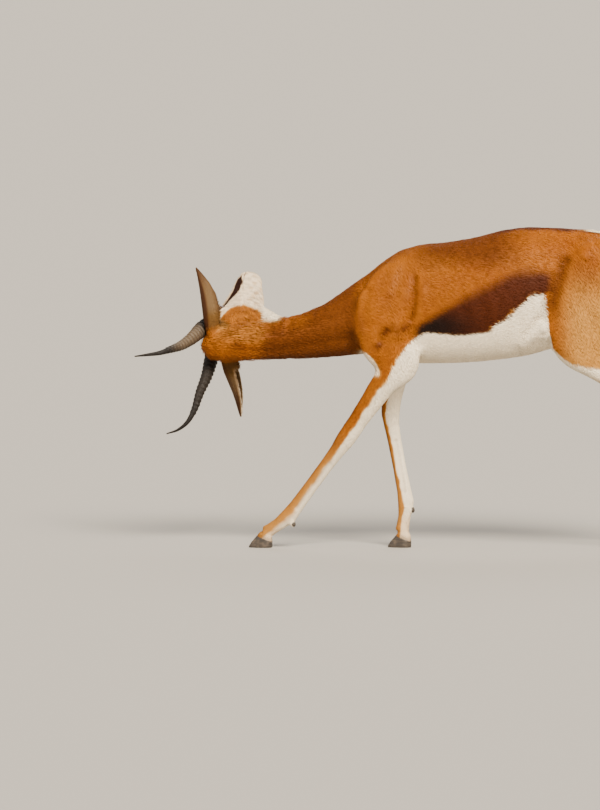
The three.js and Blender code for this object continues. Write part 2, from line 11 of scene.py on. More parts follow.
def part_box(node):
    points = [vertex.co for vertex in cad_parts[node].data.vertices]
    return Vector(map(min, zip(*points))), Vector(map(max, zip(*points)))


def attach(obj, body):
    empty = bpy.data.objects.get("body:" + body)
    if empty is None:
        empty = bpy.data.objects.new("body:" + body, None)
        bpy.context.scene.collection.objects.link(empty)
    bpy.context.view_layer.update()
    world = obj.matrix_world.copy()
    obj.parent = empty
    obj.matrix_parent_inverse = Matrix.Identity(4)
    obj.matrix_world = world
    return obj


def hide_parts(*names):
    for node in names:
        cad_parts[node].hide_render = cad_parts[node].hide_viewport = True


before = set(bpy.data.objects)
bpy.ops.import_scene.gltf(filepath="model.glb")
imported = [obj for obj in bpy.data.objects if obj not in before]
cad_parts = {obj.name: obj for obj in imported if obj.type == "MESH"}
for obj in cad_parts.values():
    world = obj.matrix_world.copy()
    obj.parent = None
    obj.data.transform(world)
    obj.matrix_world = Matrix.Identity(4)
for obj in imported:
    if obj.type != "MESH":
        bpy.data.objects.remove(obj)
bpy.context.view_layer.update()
print("frame loaded,", len(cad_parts), "solids")

# Measures of the ram, in millimetres from the point under its shoulders, and in the head's own frame
ram = {
    "headOrigin": (-421, 10, 480), "headForward": (0.08, 0.8, 0.6), "headCrown": (-0.96, 0.23, -0.14),
    "eyePlace": (106, 28.5, 20), "eyeRadius": 14.5,
    "foreLeft": ((-10, -70, 438), (-129, -44, 264), (-272, -6, 72), (-332, 4, 30)),
    "foreRight": ((6, 78, 500), (-31, 62, 320), (11, 44, 104), (0, 38, 28)),
    "hindLeft": ((405, -68, 488), (616, -78, 338), (652, -76, 93), (634, -76, 29)),
    "hindRight": ((430, 68, 482), (650, 78, 332), (721, 74, 92), (701, 74, 29)),
    "earBases": {1: (20, 36, 12), -1: (8, -36, 24)}, "earTips": {1: (-22, 190, 20), -1: (106, -187, 36)},
    "earOpenings": {1: (0, 0.15, -0.99), -1: (0.8, 0.45, 0.15)}, "earBows": {1: 10, -1: 14},
    "earLength": 168, "coronetHeight": 24, "coronetSlope": 0.4,
    "tail": ((630, 0, 672), (656, 0, 662), (674, 0, 630), (682, 0, 580), (685, 0, 520), (686, 0, 470)),
}
limbs = {
    "foreLeft": "fore_left", "foreRight": "fore_right",
    "hindLeft": "hind_left", "hindRight": "hind_right",
}
sides = (1, -1)


def unit(vector):
    vector = np.asarray(vector, float)
    return vector / np.maximum(np.linalg.norm(vector, axis=-1, keepdims=True), 1e-12)


def middleOf(node):
    low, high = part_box(node)
    return (np.array(low) + np.array(high)) / 2


forward = unit(ram["headForward"])
crown = np.array(ram["headCrown"], float)
crown = unit(crown - crown.dot(forward) * forward)
headAxes = np.column_stack([forward, np.cross(crown, forward), crown])
eyeMiddle = (middleOf("eye_left") + middleOf("eye_right")) / 2
headZero = eyeMiddle - headAxes @ (np.array(ram["eyePlace"]) * (1, 0, 1)) * 0.001
bodyZero = headZero - np.array(ram["headOrigin"]) * 0.001


def onBody(places):
    return bodyZero + np.asarray(places, float) * 0.001


def onHead(places):
    return headZero + np.asarray(places, float) @ headAxes.T * 0.001


def bodyPlace(points):
    return (points - bodyZero) * 1000


def headPlace(points):
    return (points - headZero) @ headAxes * 1000


def ease(value, low, high):
    t = np.clip((value - low) / (high - low), 0, 1)
    return t * t * (3 - 2 * t)


def between(value, low, high, soft):
    return ease(value, low - soft, low + soft) * (1 - ease(value, high - soft, high + soft))


def bell(value, wide):
    return np.exp(-(value / wide) ** 2)


def onSide(places, side):    # places given for the left side, mirrored where the side is -1
    return np.array(places, float) * (1, side, 1)


def ripple(points, size, seed):    # smooth random field from -1 to 1, with swells of about the given size
    rng = np.random.default_rng(seed)
    total = np.zeros(len(points))
    for wave in range(7):
        turn = unit(rng.normal(size=3)) * (2 * math.pi / size) * rng.uniform(0.7, 1.5)
        total += np.sin(points @ turn + rng.uniform(0, 6.28))
    return np.clip(total / 3.2, -1, 1)


def alone(obj):
    bpy.ops.object.select_all(action="DESELECT")
    obj.select_set(True)
    bpy.context.view_layer.objects.active = obj


def refine(obj, kind, **settings):
    alone(obj)
    modifier = obj.modifiers.new(kind, kind)
    for name, value in settings.items():
        setattr(modifier, name, value)
    bpy.ops.object.modifier_apply(modifier=modifier.name)


def inEditMode(obj, mode="VERT"):
    alone(obj)
    bpy.ops.object.mode_set(mode="EDIT")
    bpy.ops.mesh.select_mode(type=mode)
    bpy.ops.mesh.select_all(action="DESELECT")


def facingOut(obj):
    inEditMode(obj, "FACE")
    bpy.ops.mesh.select_all(action="SELECT")
    bpy.ops.mesh.normals_make_consistent(inside=False)
    bpy.ops.object.mode_set(mode="OBJECT")


def finished(obj, material, crease=None):    # smooth shading, up to the crease angle if one is given
    alone(obj)
    if crease is None:
        bpy.ops.object.shade_smooth()
    else:
        bpy.ops.object.shade_smooth_by_angle(angle=math.radians(crease))
    obj.data.materials.clear()
    obj.data.materials.append(material)


def joined(pieces, name):
    bpy.ops.object.select_all(action="DESELECT")
    for piece in pieces:
        piece.select_set(True)
    bpy.context.view_layer.objects.active = pieces[0]
    bpy.ops.object.join()
    pieces[0].name = name
    return pieces[0]


def pointsOf(obj):
    found = np.empty(len(obj.data.vertices) * 3)
    obj.data.vertices.foreach_get("co", found)
    return found.reshape(-1, 3)


def setPoints(obj, points):
    obj.data.vertices.foreach_set("co", np.ascontiguousarray(points).ravel())
    obj.data.update()


def normalsOf(obj):
    found = np.empty(len(obj.data.vertices) * 3)
    obj.data.vertices.foreach_get("normal", found)
    return found.reshape(-1, 3)


def edgesOf(obj):
    found = np.empty(len(obj.data.edges) * 2, np.int32)
    obj.data.edges.foreach_get("vertices", found)
    return found.reshape(-1, 2)


def storeMarks(obj, marks):
    for name, values in marks.items():
        layer = obj.data.attributes.new(name, "FLOAT", "POINT")
        layer.data.foreach_set("value", np.ascontiguousarray(np.clip(values, 0, 1), np.float32))


def withoutMaps(obj):
    for found in list(obj.data.uv_layers):
        obj.data.uv_layers.remove(found)


def setMap(obj, name, uv):    # one place on the map for each vertex
    withoutMaps(obj)
    loops = np.empty(len(obj.data.loops), np.int32)
    obj.data.loops.foreach_get("vertex_index", loops)
    obj.data.uv_layers.new(name=name).data.foreach_set("uv", uv[loops].ravel())


def copyOf(nodes, name):    # the solids' triangles, merged, as one new mesh
    shape = bmesh.new()
    for node in nodes:
        shape.from_mesh(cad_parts[node].data)
    bmesh.ops.remove_doubles(shape, verts=shape.verts, dist=1e-5)
    mesh = bpy.data.meshes.new(name)
    shape.to_mesh(mesh)
    shape.free()
    obj = bpy.data.objects.new(name, mesh)
    bpy.context.collection.objects.link(obj)
    return obj


def relaxed(values, edges, passes, share):    # each pass moves every value towards its neighbours' mean
    count = len(values)
    a, b = edges.T
    degree = np.maximum(np.bincount(a, minlength=count) + np.bincount(b, minlength=count), 1)
    values = values.copy()
    share = np.broadcast_to(share, (count,))
    for step in range(passes):
        for axis in range(values.shape[1]):
            column = values[:, axis]
            total = np.bincount(a, column[b], count) + np.bincount(b, column[a], count)
            values[:, axis] = column + share * (total / degree - column)
    return values


def smoothed(points, edges, passes, share):    # relaxing what was moved as well keeps the volume
    smooth = relaxed(points, edges, passes, share)
    return smooth - relaxed(smooth - points, edges, passes, share)


def pathDistance(points, path):    # distance to a line of points, and how far along it the nearest is
    path = np.asarray(path, float)
    best = np.full(len(points), 1e9)
    along = np.zeros(len(points))
    for i, (start, end) in enumerate(zip(path, path[1:])):
        line = end - start
        t = np.clip((points - start) @ line / line.dot(line), 0, 1)
        off = np.linalg.norm(points - start - t[:, None] * line, axis=1)
        nearer = off < best
        best[nearer] = off[nearer]
        along[nearer] = i + t[nearer]
    return best, along


def sideDistance(places, line):    # the same for a line in x and z, seen from the side
    return pathDistance(places * (1, 0, 1), [(x, 0, z) for x, z in line])


# Of the nearest limb: place along its joints, distance, and angle round it from the front to outside
def limbSpots(body):
    count = len(body)
    found = {
        "along": np.full(count, -1.0), "off": np.full(count, 1e9),
        "angle": np.zeros(count), "fore": np.zeros(count),
    }
    for name in limbs:
        joints = np.array(ram[name], float)
        outward = np.array((0, 1 if joints[0][1] > 0 else -1, 0.0))
        for i in range(3):
            start, end = joints[i], joints[i + 1]
            line = end - start
            axis = unit(line)
            raw = (body - start) @ line / line.dot(line)
            t = np.clip(raw, -0.4 if i == 0 else 0, 1)
            offset = body - start - t[:, None] * line
            off = np.linalg.norm(offset, axis=1)
            front = unit(np.array((-1.0, 0, 0)) + axis[0] * axis)
            out = unit(outward - outward.dot(axis) * axis)
            nearer = off < found["off"]
            found["off"][nearer] = off[nearer]
            found["along"][nearer] = i + t[nearer]
            angle = np.degrees(np.arctan2(offset @ out, offset @ front))
            found["angle"][nearer] = angle[nearer]
            found["fore"][nearer] = name.startswith("fore")
    return found


def tendonGroove(body):    # distance to the groove in front of the tendons, beside each cannon
    least = np.full(len(body), 1e9)
    for name in limbs:
        knee, fetlock = (np.array(place, float) for place in ram[name][1:3])
        start, end = knee + 0.3 * (fetlock - knee), knee + 0.86 * (fetlock - knee)
        for turn in (-1, 1):
            groove = [place + (5, 13 * turn, 0) for place in (start, end)]
            least = np.minimum(least, pathDistance(body, groove)[0])
    return least


def eyeDistance(head):
    return np.minimum(*[np.linalg.norm(head - onSide(ram["eyePlace"], side), axis=1) for side in sides])


# Half width and half height of the opening in degrees, depth of the ball's bed and gap over it in mm,
# place of the fold over the eye as a multiple of the opening, and how far from the centre the lids reach
lids = {"wide": 54, "high": 42, "sunk": 12.4, "gap": 0.5, "fold": 1.62, "reach": 26}


def eyeAxes(side):    # in the head's frame: centre of an eye, the way it looks, ahead and above
    look = unit((0.34, side * 0.92, 0.12))
    ahead = unit(np.array((1, 0, 0)) - look[0] * look)
    return onSide(ram["eyePlace"], side), look, ahead, np.cross(ahead, look) * side


# Offset and distance from an eye's centre, the edge (1 on the lids' rim, less inside), and what is above
def lidSpots(head, side):
    centre, look, ahead, above = eyeAxes(side)
    offset = head - centre
    depth = offset @ look
    level = np.maximum(depth, 0.001)
    wide = np.degrees(np.arctan2(offset @ ahead, level)) / lids["wide"]
    high = np.degrees(np.arctan2(offset @ above, level)) / lids["high"]
    distance = np.linalg.norm(offset, axis=1)
    inFront = (depth > 0) & (distance < lids["reach"])
    return offset, distance, np.where(inFront, np.hypot(wide, high), 9), high > 0


def lidEdge(head):
    return np.minimum(*[lidSpots(head, side)[2] for side in sides])


def earLine(side):    # root and direction of an ear in the head's frame
    base = np.array(ram["earBases"][side], float)
    return base, unit(np.array(ram["earTips"][side]) - base)


def earSpots(head):    # for each ear: place along it, distance from its line, offsets across and ahead
    found = []
    for side in sides:
        base, line = earLine(side)
        opening = unit(ram["earOpenings"][side])
        across = unit(np.cross(line, opening))
        along = np.clip((head - base) @ line / ram["earLength"], 0, 1)
        sag = ram["earBows"][side] * np.sin(math.pi * along ** 1.1)
        offset = head - base - along[:, None] * line * ram["earLength"] + sag[:, None] * (0, 0, 1)
        found.append((along, np.linalg.norm(offset, axis=1), offset @ across, offset @ opening))
    return found


def aboveCoronet(body):    # height over the slanting top rim of the nearest hoof
    feet = np.array([ram[name][3] for name in limbs], float)
    nearest = np.argmin([np.hypot(*(body[:, :2] - foot[:2]).T) for foot in feet], axis=0)
    return body[:, 2] - ram["coronetHeight"] + ram["coronetSlope"] * (body[:, 0] - feet[nearest, 0] - 2)


# Lines of the left side in the head's frame; that of the mouth is in x and z only
hornLine = (
    (74, 22, 30), (36, 39, 51), (-22, 59, 64), (-62, 74, 79),
    (-98, 95, 94), (-124, 110, 112), (-137, 120, 138), (-141, 124, 168),
)
nostrilLine = ((250, 15.5, 2.5), (255, 12.5, 0.5), (259.5, 8.5, -3.5), (261, 5.5, -7.5))
mouthLine = ((264, -14.5), (252, -15), (238, -15.2), (222, -15.5), (205, -17), (190, -19.5), (178, -23))


# Skin

skinPlan = {
    "bodyVoxel": 0.0048, "headVoxel": 0.0022, "legVoxel": 0.003, "swell": 0.0005,
    "neckCut": (-170, 0, 524), "legCut": 290, "rimGap": 4, "neckReach": 0.12, "legReach": 0.07,
    "tailRadii": (0.014, 0.013, 0.0105, 0.0085, 0.0065, 0.004), "tailBeads": 6,
    "hornPlugs": (((74, 22, 30), 0.019), ((60, 28, 38), 0.0165), ((46, 34, 45), 0.0145)),
    "hoofDepth": 0.0012, "passes": 44, "keptFaces": 0.58,
}
legTops = {"fore": ("shoulder", "forearm"), "hind": ("thigh", "shank")}
legNodes = [f"{label}_{part}" for label in limbs.values() for part in legTops[label[:4]]]
cannons = [f"{label}_cannon" for label in limbs.values()]
claws = [f"{label}_claw_{i}" for label in limbs.values() for i in (1, 2)]


def remeshed(obj, voxel):
    refine(obj, "DISPLACE", strength=skinPlan["swell"], mid_level=0)
    refine(obj, "REMESH", mode="VOXEL", voxel_size=voxel, adaptivity=0)
    return obj


def trimmed(obj, place, normal):    # what lies on the side that the normal points to goes
    inEditMode(obj)
    bpy.ops.mesh.select_all(action="SELECT")
    bpy.ops.mesh.bisect(plane_co=place, plane_no=normal, clear_outer=True)
    bpy.ops.object.mode_set(mode="OBJECT")


def bridged(obj, place, reach):    # the two open rims near a place are joined
    inEditMode(obj, "EDGE")
    shape = bmesh.from_edit_mesh(obj.data)
    for edge in shape.edges:
        near = all((v.co - Vector(place)).length < reach for v in edge.verts)
        edge.select_set(edge.is_boundary and near)
    bmesh.update_edit_mesh(obj.data)
    bpy.ops.mesh.bridge_edge_loops()
    bpy.ops.object.mode_set(mode="OBJECT")


def tailCore():
    path, radii = onBody(ram["tail"]), skinPlan["tailRadii"]
    beads = []
    for (start, end), (r0, r1) in zip(zip(path, path[1:]), zip(radii, radii[1:])):
        for share in np.linspace(0, 1, skinPlan["tailBeads"], endpoint=False):
            place = start + (end - start) * share
            radius = r0 + (r1 - r0) * share
            bpy.ops.mesh.primitive_ico_sphere_add(subdivisions=2, radius=radius, location=place)
            beads.append(bpy.context.object)
    return joined(beads, "tailCore")


def makeSkin():
    neckPlace = onBody(skinPlan["neckCut"])
    legPlace = onBody((0, 0, skinPlan["legCut"]))
    gap = skinPlan["rimGap"] / 2 * 0.001
    inside = copyOf(claws, "hoofCores")
    refine(inside, "DISPLACE", strength=-skinPlan["hoofDepth"], mid_level=0)
    body = joined([copyOf(["torso", "neck"] + legNodes + cannons, "body"), tailCore()], "body")
    remeshed(body, skinPlan["bodyVoxel"])
    legs = remeshed(joined([copyOf(legNodes + cannons, "legs"), inside], "legs"), skinPlan["legVoxel"])
    plugs = []
    for side in sides:
        for place, radius in skinPlan["hornPlugs"]:
            spot = onHead(onSide(place, side))
            bpy.ops.mesh.primitive_ico_sphere_add(subdivisions=3, radius=radius, location=spot)
            plugs.append(bpy.context.object)
    head = joined([copyOf(["head", "neck", "ear_left", "ear_right"], "headSkin")] + plugs, "headSkin")
    remeshed(head, skinPlan["headVoxel"])
    trimmed(head, neckPlace - (gap, 0, 0), (1, 0, 0))
    trimmed(body, neckPlace + (gap, 0, 0), (-1, 0, 0))
    trimmed(body, legPlace + (0, 0, gap), (0, 0, -1))
    trimmed(legs, legPlace - (0, 0, gap), (0, 0, 1))
    skin = joined([body, legs, head], "skin")
    bridged(skin, neckPlace, skinPlan["neckReach"])
    for name in limbs:
        top, knee, fetlock = (np.array(p, float) for p in ram[name][:3])
        start, end = (top, knee) if knee[2] < skinPlan["legCut"] else (knee, fetlock)
        share = (start[2] - skinPlan["legCut"]) / (start[2] - end[2])
        bridged(skin, onBody(start + (end - start) * share), skinPlan["legReach"])
    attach(skin, "root")
    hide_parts("torso", "neck", "tail", "head", "ear_left", "ear_right", *legNodes, *cannons)
    return skin


def smoothSkin(skin):
    points = pointsOf(skin)
    body, head = bodyPlace(points), headPlace(points)
    onLeg = 1 - ease(body[:, 2], 300, 470)
    nearEye = 1 - ease(eyeDistance(head), 22, 45)
    onHeadPart = 1 - ease(body[:, 0], -400, -330)
    onEar = np.zeros(len(points))
    for along, off, *rest in earSpots(head):
        onEar = np.maximum(onEar, ease(along, 0.2, 0.4) * (1 - ease(off, 26, 34)))
    onTail = ease(body[:, 0], 640, 660) * (1 - onLeg)
    share = 0.5 * (1 - 0.78 * onLeg) * (1 - 0.55 * onHeadPart) * (1 - 0.9 * nearEye) * (1 - 0.88 * onEar)
    share *= 1 - 0.7 * onTail
    setPoints(skin, smoothed(points, edgesOf(skin), skinPlan["passes"], share))


def sharpenMesh(skin):    # smaller faces round the eyes, the nose and the mouth
    head = headPlace(pointsOf(skin))
    across, high = np.abs(head[:, 1]), np.abs(head[:, 2])
    onMuzzle = (head[:, 0] > 168) & (head[:, 0] < 290) & (across < 45) & (high < 60)
    wanted = onMuzzle | (eyeDistance(head) < 24)
    inEditMode(skin, "FACE")
    shape = bmesh.from_edit_mesh(skin.data)
    shape.verts.ensure_lookup_table()
    for face in shape.faces:
        face.select_set(any(wanted[v.index] for v in face.verts))
    bmesh.update_edit_mesh(skin.data)
    bpy.ops.mesh.subdivide(number_cuts=1, smoothness=0.4)
    bpy.ops.object.mode_set(mode="OBJECT")


# Folds and swellings: line in x and z on each side, half width, and depth (below 0 is a swelling)
bodyForms = (
    ([(40, 668), (41, 620), (38, 575), (30, 545)], 9, 6),
    ([(58, 650), (60, 600), (52, 560)], 16, -3),
    ([(352, 528), (358, 500), (372, 474)], 17, -6),
    ([(374, 524), (342, 532), (312, 508), (290, 484)], 12, -4.5),
    ([(352, 566), (332, 552), (314, 530), (300, 512)], 9, 3),
    ([(-20, 536), (-30, 522), (-44, 494)], 11, 6),
    ([(-70, 640), (-78, 600), (-80, 560), (-70, 525)], 14, 4),
    ([(0, 700), (-12, 650), (-28, 600)], 13, -3.5),
    ([(14, 640), (10, 590), (0, 545), (-6, 500)], 20, -4.5),
    ([(402, 712), (386, 664), (374, 615), (358, 578), (350, 540)], 15, 6),
    ([(330, 610), (345, 560), (352, 520)], 10, -3),
    ([(470, 742), (452, 722), (440, 700)], 15, -5),
    ([(520, 650), (500, 600), (470, 560)], 26, -4),
    ([(570, 690), (585, 640), (575, 590), (560, 545)], 15, 4),
    ([(440, 640), (420, 590), (400, 540)], 17, 3),
    ([(140, 600), (150, 520)], 12, -1.2),
    ([(180, 610), (192, 525)], 12, -1.4),
    ([(222, 618), (236, 540)], 12, -1.2),
)
neckForms = (
    ([(-390, 470), (-300, 474), (-220, 488), (-150, 500), (-110, 508)], 13, 3.2),
    ([(-400, 500), (-310, 505), (-210, 520), (-120, 545)], 15, -2.5),
    ([(-380, 525), (-300, 530), (-200, 556), (-110, 590)], 15, 2.2),
)
faceForms = (    # the same in the head's frame: below the eye, the brow and the cheek
    ([(124, 36, 14), (146, 31, 8), (170, 27, 2)], 5, 1.6),
    ([(84, 30, 40), (104, 30, 42), (124, 27, 34)], 7, -2.0),
    ([(150, 32, -22), (115, 42, -30), (85, 44, -42)], 13, -2.2),
)


def shapeSkin(skin):
    points = pointsOf(skin)
    body, head = bodyPlace(points), headPlace(points)
    normals = normalsOf(skin)
    move = np.zeros(len(points))
    outer = ease(np.abs(body[:, 1]), 25, 50)
    for line, wide, deep in bodyForms:
        off, along = sideDistance(body, line)
        ends = ease(along, 0, 0.35) * (1 - ease(along, len(line) - 1.35, len(line) - 1))
        move -= 1.15 * deep * bell(off, wide) * outer * np.maximum(ends, 0.15)
    onNeck = between(body[:, 0], -400, -100, 20) * ease(np.abs(body[:, 1]), 15, 35)
    for line, wide, deep in neckForms:
        move -= deep * bell(sideDistance(body, line)[0], wide) * onNeck
    # the skin lies this deep in the solids, to leave room for the coat
    depth = 1.8 - 0.9 * (1 - ease(body[:, 2], 330, 460)) - 0.5 * (1 - ease(body[:, 2], 100, 260))
    depth += 1.2 * (1 - ease(body[:, 0], -200, -110)) * ease(body[:, 2], 400, 440)
    onHeadPart = ease(head[:, 0], -30, 20) * (body[:, 0] < -280)
    depth = depth * (1 - onHeadPart) + 1.2 * onHeadPart
    nearEye = 1 - ease(eyeDistance(head), 17, 40)
    nearNose = ease(head[:, 0], 225, 262) * (body[:, 0] < -280)
    depth *= (1 - nearEye) * (1 - 0.7 * nearNose)
    for along, off, *rest in earSpots(head):
        depth *= 1 - ease(along, 0.08, 0.25) * (1 - ease(off, 26, 36))
    depth *= 1 - 0.75 * (1 - ease(aboveCoronet(body), 0, 30))
    move -= 3.2 * bell(tendonGroove(body), 4.5)
    setPoints(skin, points + normals * ((move - depth) * 0.001)[:, None])


def openLids(head):    # lays the lids on the ball, presses their fold in, and sinks the opening
    least = ram["eyeRadius"] + lids["gap"]
    for side in sides:
        offset, distance, edge, upper = lidSpots(head, side)
        opened = 1 - ease(edge, 0.9, 1.06)
        ridge = 0.8 * bell(edge - 1.2, 0.12) - upper * bell(edge - lids["fold"], 0.14)
        fitted = least + np.maximum(distance - least, 0) * ease(edge, 1.0, 1.8) + ridge
        wanted = fitted * (1 - opened) + np.minimum(distance, lids["sunk"]) * opened
        wanted = distance + (wanted - distance) * (1 - ease(distance, 20, 25))
        chosen = distance < lids["reach"]
        head[chosen] += offset[chosen] * (wanted[chosen] / distance[chosen] - 1)[:, None]
    return head


def shapeFace(skin):
    points, normals = pointsOf(skin), normalsOf(skin)
    head = headPlace(points)
    ahead, across, up = head[:, 0], np.abs(head[:, 1]), head[:, 2]
    near = (ahead > 60) & (across < 60) & (up > -100) & (ahead < 300)
    move = np.zeros(len(points))
    off, along = sideDistance(head, mouthLine)
    share = ease(along, -0.2, 0.6) * (1 - ease(along, 5.2, 6)) * near
    front = 0.85 * (ahead > 262) * near
    move -= 2.6 * bell(off, 1.5) * np.maximum(share, front) * ease(across, 0.5, 3)
    move += 1.3 * bell(off - 4.2, 2.4) * share
    for side in sides:
        off = pathDistance(head, onSide(nostrilLine, side))[0]
        move -= 5.5 * np.exp(-(off / 2.5) ** 2.4) * near
        move += 1.5 * bell(off - 5.5, 2.2) * near
        for line, wide, deep in faceForms:
            move -= deep * bell(pathDistance(head, onSide(line, side))[0], wide) * near
    chin = ease(ahead, 226, 238) * (1 - ease(ahead, 246, 262)) * (1 - ease(up, -38, -30)) * near
    move += 1.6 * chin
    points = points + normals * (move * 0.001)[:, None]
    points[near] = onHead(openLids(headPlace(points)))[near]
    setPoints(skin, points)


# Markings, the same on the skin and at the root of every tuft

bellyLine = [(40, 514), (66, 528), (107, 526), (170, 524), (209, 531), (259, 563), (286, 590), (317, 616)]
marksPlan = {    # lines in x and z on each side
    "bandTop": [
        (30, 534), (62, 557), (108, 584), (161, 611), (223, 642), (276, 669), (339, 677), (375, 670),
    ],
    "bandLow": [(30, 508), *bellyLine, (365, 628)],
    "fawnLow": [
        (-130, 300), (-84, 334), (-31, 383), (-21, 424), (-4, 460), (20, 492), *bellyLine,
        (350, 626), (357, 566), (363, 526), (372, 492), (395, 467), (420, 453), (488, 440),
        (540, 404), (600, 340), (700, 250),
    ],
    "elbowSpots": [(17, 537), (-29, 527), (-46, 495)],
    "creases": [    # line, half width and strength of the painted shade in each fold
        ([(412, 724), (396, 690), (384, 650), (372, 606), (356, 566)], 17, 0.85),
        ([(36, 690), (40, 650), (41, 610), (38, 575), (26, 535)], 8, 0.55),
        ([(-100, 590), (-92, 540), (-84, 500)], 14, 0.6),
        ([(-20, 560), (-6, 530), (10, 505)], 12, 0.45),
        ([(340, 690), (300, 672), (240, 646), (180, 618), (120, 590)], 14, 0.55),
        ([(412, 712), (440, 676), (492, 640)], 26, 0.35),
    ],
    "foreShift": (16, 42),
}
faceMarks = {    # the stripe's line in the head's frame and its half widths, wide where painted shade on the side of the nose joins it, and the edge of the cheek
    "stripe": [(114, 40, 18), (150, 33, 9), (185, 28, -4), (215, 25, -5), (240, 20, -3)],
    "stripeWidths": (8.5, 9.5, 11.5, 11.5, 7.5),
    "cheekHeights": (-95, -79, -58, -41, -21, -3, 5, 16),
    "cheekEdge": (86, 96, 106, 108, 101, 86, 70, 44),
}
earPlan = {    # half width and depth of an ear at stations along it
    "stations": (0, 0.26, 0.42, 0.58, 0.74, 0.88, 1),
    "halfWidths": (13, 20, 20.5, 18.5, 13.5, 7, 1.5), "depths": (21, 17, 14, 12, 8.8, 4.9, 1.8),
}


def coatPlaces(points):    # what the markings are worked out from
    body, head = bodyPlace(points), headPlace(points)
    x, y, z = body.T
    wander = ripple(body, 70, 11) * 5 + ripple(body, 22, 12) * 2.2
    limb = limbSpots(body)
    # the right elbow lies higher and further back, so its markings are those of the left one, moved
    rightFore = ((y > 0) & (x < 120)) * (1 - ease(z, 480, 640))
    back, up = marksPlan["foreShift"]
    tailOff = pathDistance(body, ram["tail"])[0]
    return SimpleNamespace(
        body=body, head=head, x=x, z=z, out=np.abs(y), wander=wander, rightFore=rightFore,
        foreX=x - back * rightFore, foreZ=z - up * rightFore,
        along=limb["along"], angle=limb["angle"] + wander * 2, off=limb["off"], fore=limb["fore"] > 0,
        onTail=ease(x, 640, 656) * (1 - ease(tailOff, 24, 34)),
        # gold: the top of the neck by the poll, partly its golden hair and partly painted light
        gold=between(x, -446, -322, 26) * ease(z + wander, 482, 516) * (y < 60),
        throat=between(x, -339, -292, 6) * ease(z, 538, 550),
    )


def legFawn(at):
    along, angle = at.along, at.angle
    reach = np.interp(along, (-0.4, 0, 0.6, 1, 1.5, 2, 3), (106, 98, 95, 96, 102, 108, 124))
    inward = np.interp(along, (1.6, 2.1), (-56, -84))
    soft = 11 + 30 * ease(along, 0.95, 1.5)
    strength = np.interp(along, (0.9, 1.25, 2, 2.5, 3), (1, 0.82, 0.7, 0.62, 0.7))
    foreLeg = ease(angle, inward - 11, inward + 11)
    foreLeg = foreLeg * (1 - ease(angle, reach - 1.35 * soft, reach + 0.65 * soft)) * strength
    foreLeg = np.maximum(foreLeg, 0.2 * ease(along, 2.1, 2.6))
    hindUpper = between(angle, 24, 172, 12) * (1 - ease(along, 0.85, 1.15))
    hindLower = 0.75 * between(angle, -48, 74, 12) * ease(along, 0.9, 1.2)
    hindLeg = np.maximum.reduce([hindUpper, hindLower, 0.3 * ease(along, 2.2, 2.6)])
    return np.where(at.fore, foreLeg, hindLeg)


def bodyFawn(at):    # all but the face and ears; where it is low, the coat is white
    x, z, out, wander = at.x, at.z, at.out, at.wander
    low = np.interp(at.foreX, *zip(*marksPlan["fawnLow"]))
    fawn = ease(at.foreZ + wander * 0.6, low - 4, low + 4)
    belly = between(x, -95, 640, 12) * (1 - ease(out, 34, 56)) * (1 - ease(z, 470, 500) * (x < 330))
    groin = (1 - ease(out, 40, 58)) * (1 - ease(z, 560, 610))
    fawn = np.where(x < -95, 1.0, fawn * (1 - np.where(x > 330, groin, belly)))
    onLimb = np.where(at.fore, 1 - ease(at.foreZ, 385, 440), 1 - ease(z, 360, 430)) * (x > -400)
    onLimb = onLimb * (1 - ease(at.off, 60, 80))
    fawn = fawn * (1 - onLimb) + legFawn(at) * onLimb
    chest = between(x, -105, -40, 10) * (1 - ease(out, 16, 34)) * (1 - ease(z, 476, 492))
    legEdge = np.interp(z, (430, 450, 462, 482, 500), (-44, -54, -62, -86, -94))
    chestFront = between(x, -104, -40, 7) * (1 - ease(x, legEdge, legEdge + 9)) * between(z, 420, 480, 5)
    fawn *= (1 - chest) * (1 - 0.9 * chestFront * (1 - at.rightFore))
    pale = between(x, 404, 600, 36) * (1 - ease(z, 560, 710)) * ease(out, 42, 60)
    fawn *= 1 - 0.46 * pale * ease(fawn, 0.4, 0.9)
    rumpEdge = 598 + 0.12 * out + wander * 0.6 - 10 * ease(z, 640, 720)
    rump = ease(x, rumpEdge - 5, rumpEdge + 5) * ease(z, 430, 500)
    opening = ease(x, 440, 600)
    fold = between(x, 436, 640, 10) * (1 - ease(out, 10 + 12 * opening, 17 + 14 * opening))
    fawn *= 1 - np.maximum(rump, fold * ease(z, 690, 720))
    fawn *= 1 - at.onTail
    return fawn * (1 - 0.14 * at.gold * ease(fawn, 0.6, 1))


def bodyDark(at):    # flank band, painted shade along the top of the back, rim of the white fold, elbow spots and tail tuft
    x, z, out, wander = at.x, at.z, at.out, at.wander
    top = np.interp(x, *zip(*marksPlan["bandTop"])) + wander * 0.8
    bottom = np.interp(x, *zip(*marksPlan["bandLow"]))
    band = ease(z + 0.6 * wander, bottom - 7, bottom) * (1 - ease(z + wander, top - 20, top + 14))
    band *= ease(x, 30, 52) * (1 - ease(x, 352, 384)) * ease(out, 20, 40)
    # painted shade along the top line of the back
    paintedBackShade = between(x, 225, 425, 22) * (1 - ease(out + wander, 13, 30)) * ease(z, 700, 740) * 0.9
    foldEdge = 15 + 13 * ease(x, 440, 600)
    foldRim = between(x, 425, 590, 14) * bell(out - foldEdge, 5) * ease(z, 680, 715) * 0.8
    elbow = np.zeros(len(x))
    for spotX, spotZ in marksPlan["elbowSpots"]:
        back, up = at.foreX - spotX, at.foreZ - spotZ
        spot = np.exp(-back ** 2 / 230 - (up - 0.3 * back) ** 2 / 90)
        elbow = np.maximum(elbow, spot * (out > 45))
    tuft = at.onTail * (1 - ease(z, 548, 580))
    shade = band * (1 - 0.85 * ease(x, 90, 230)) * (1 - 0.55 * ease(z, bottom + 18, bottom + 60))
    return np.maximum.reduce([band, paintedBackShade, foldRim, 0.85 * elbow, 0.92 * tuft]), shade + 0.3 * tuft


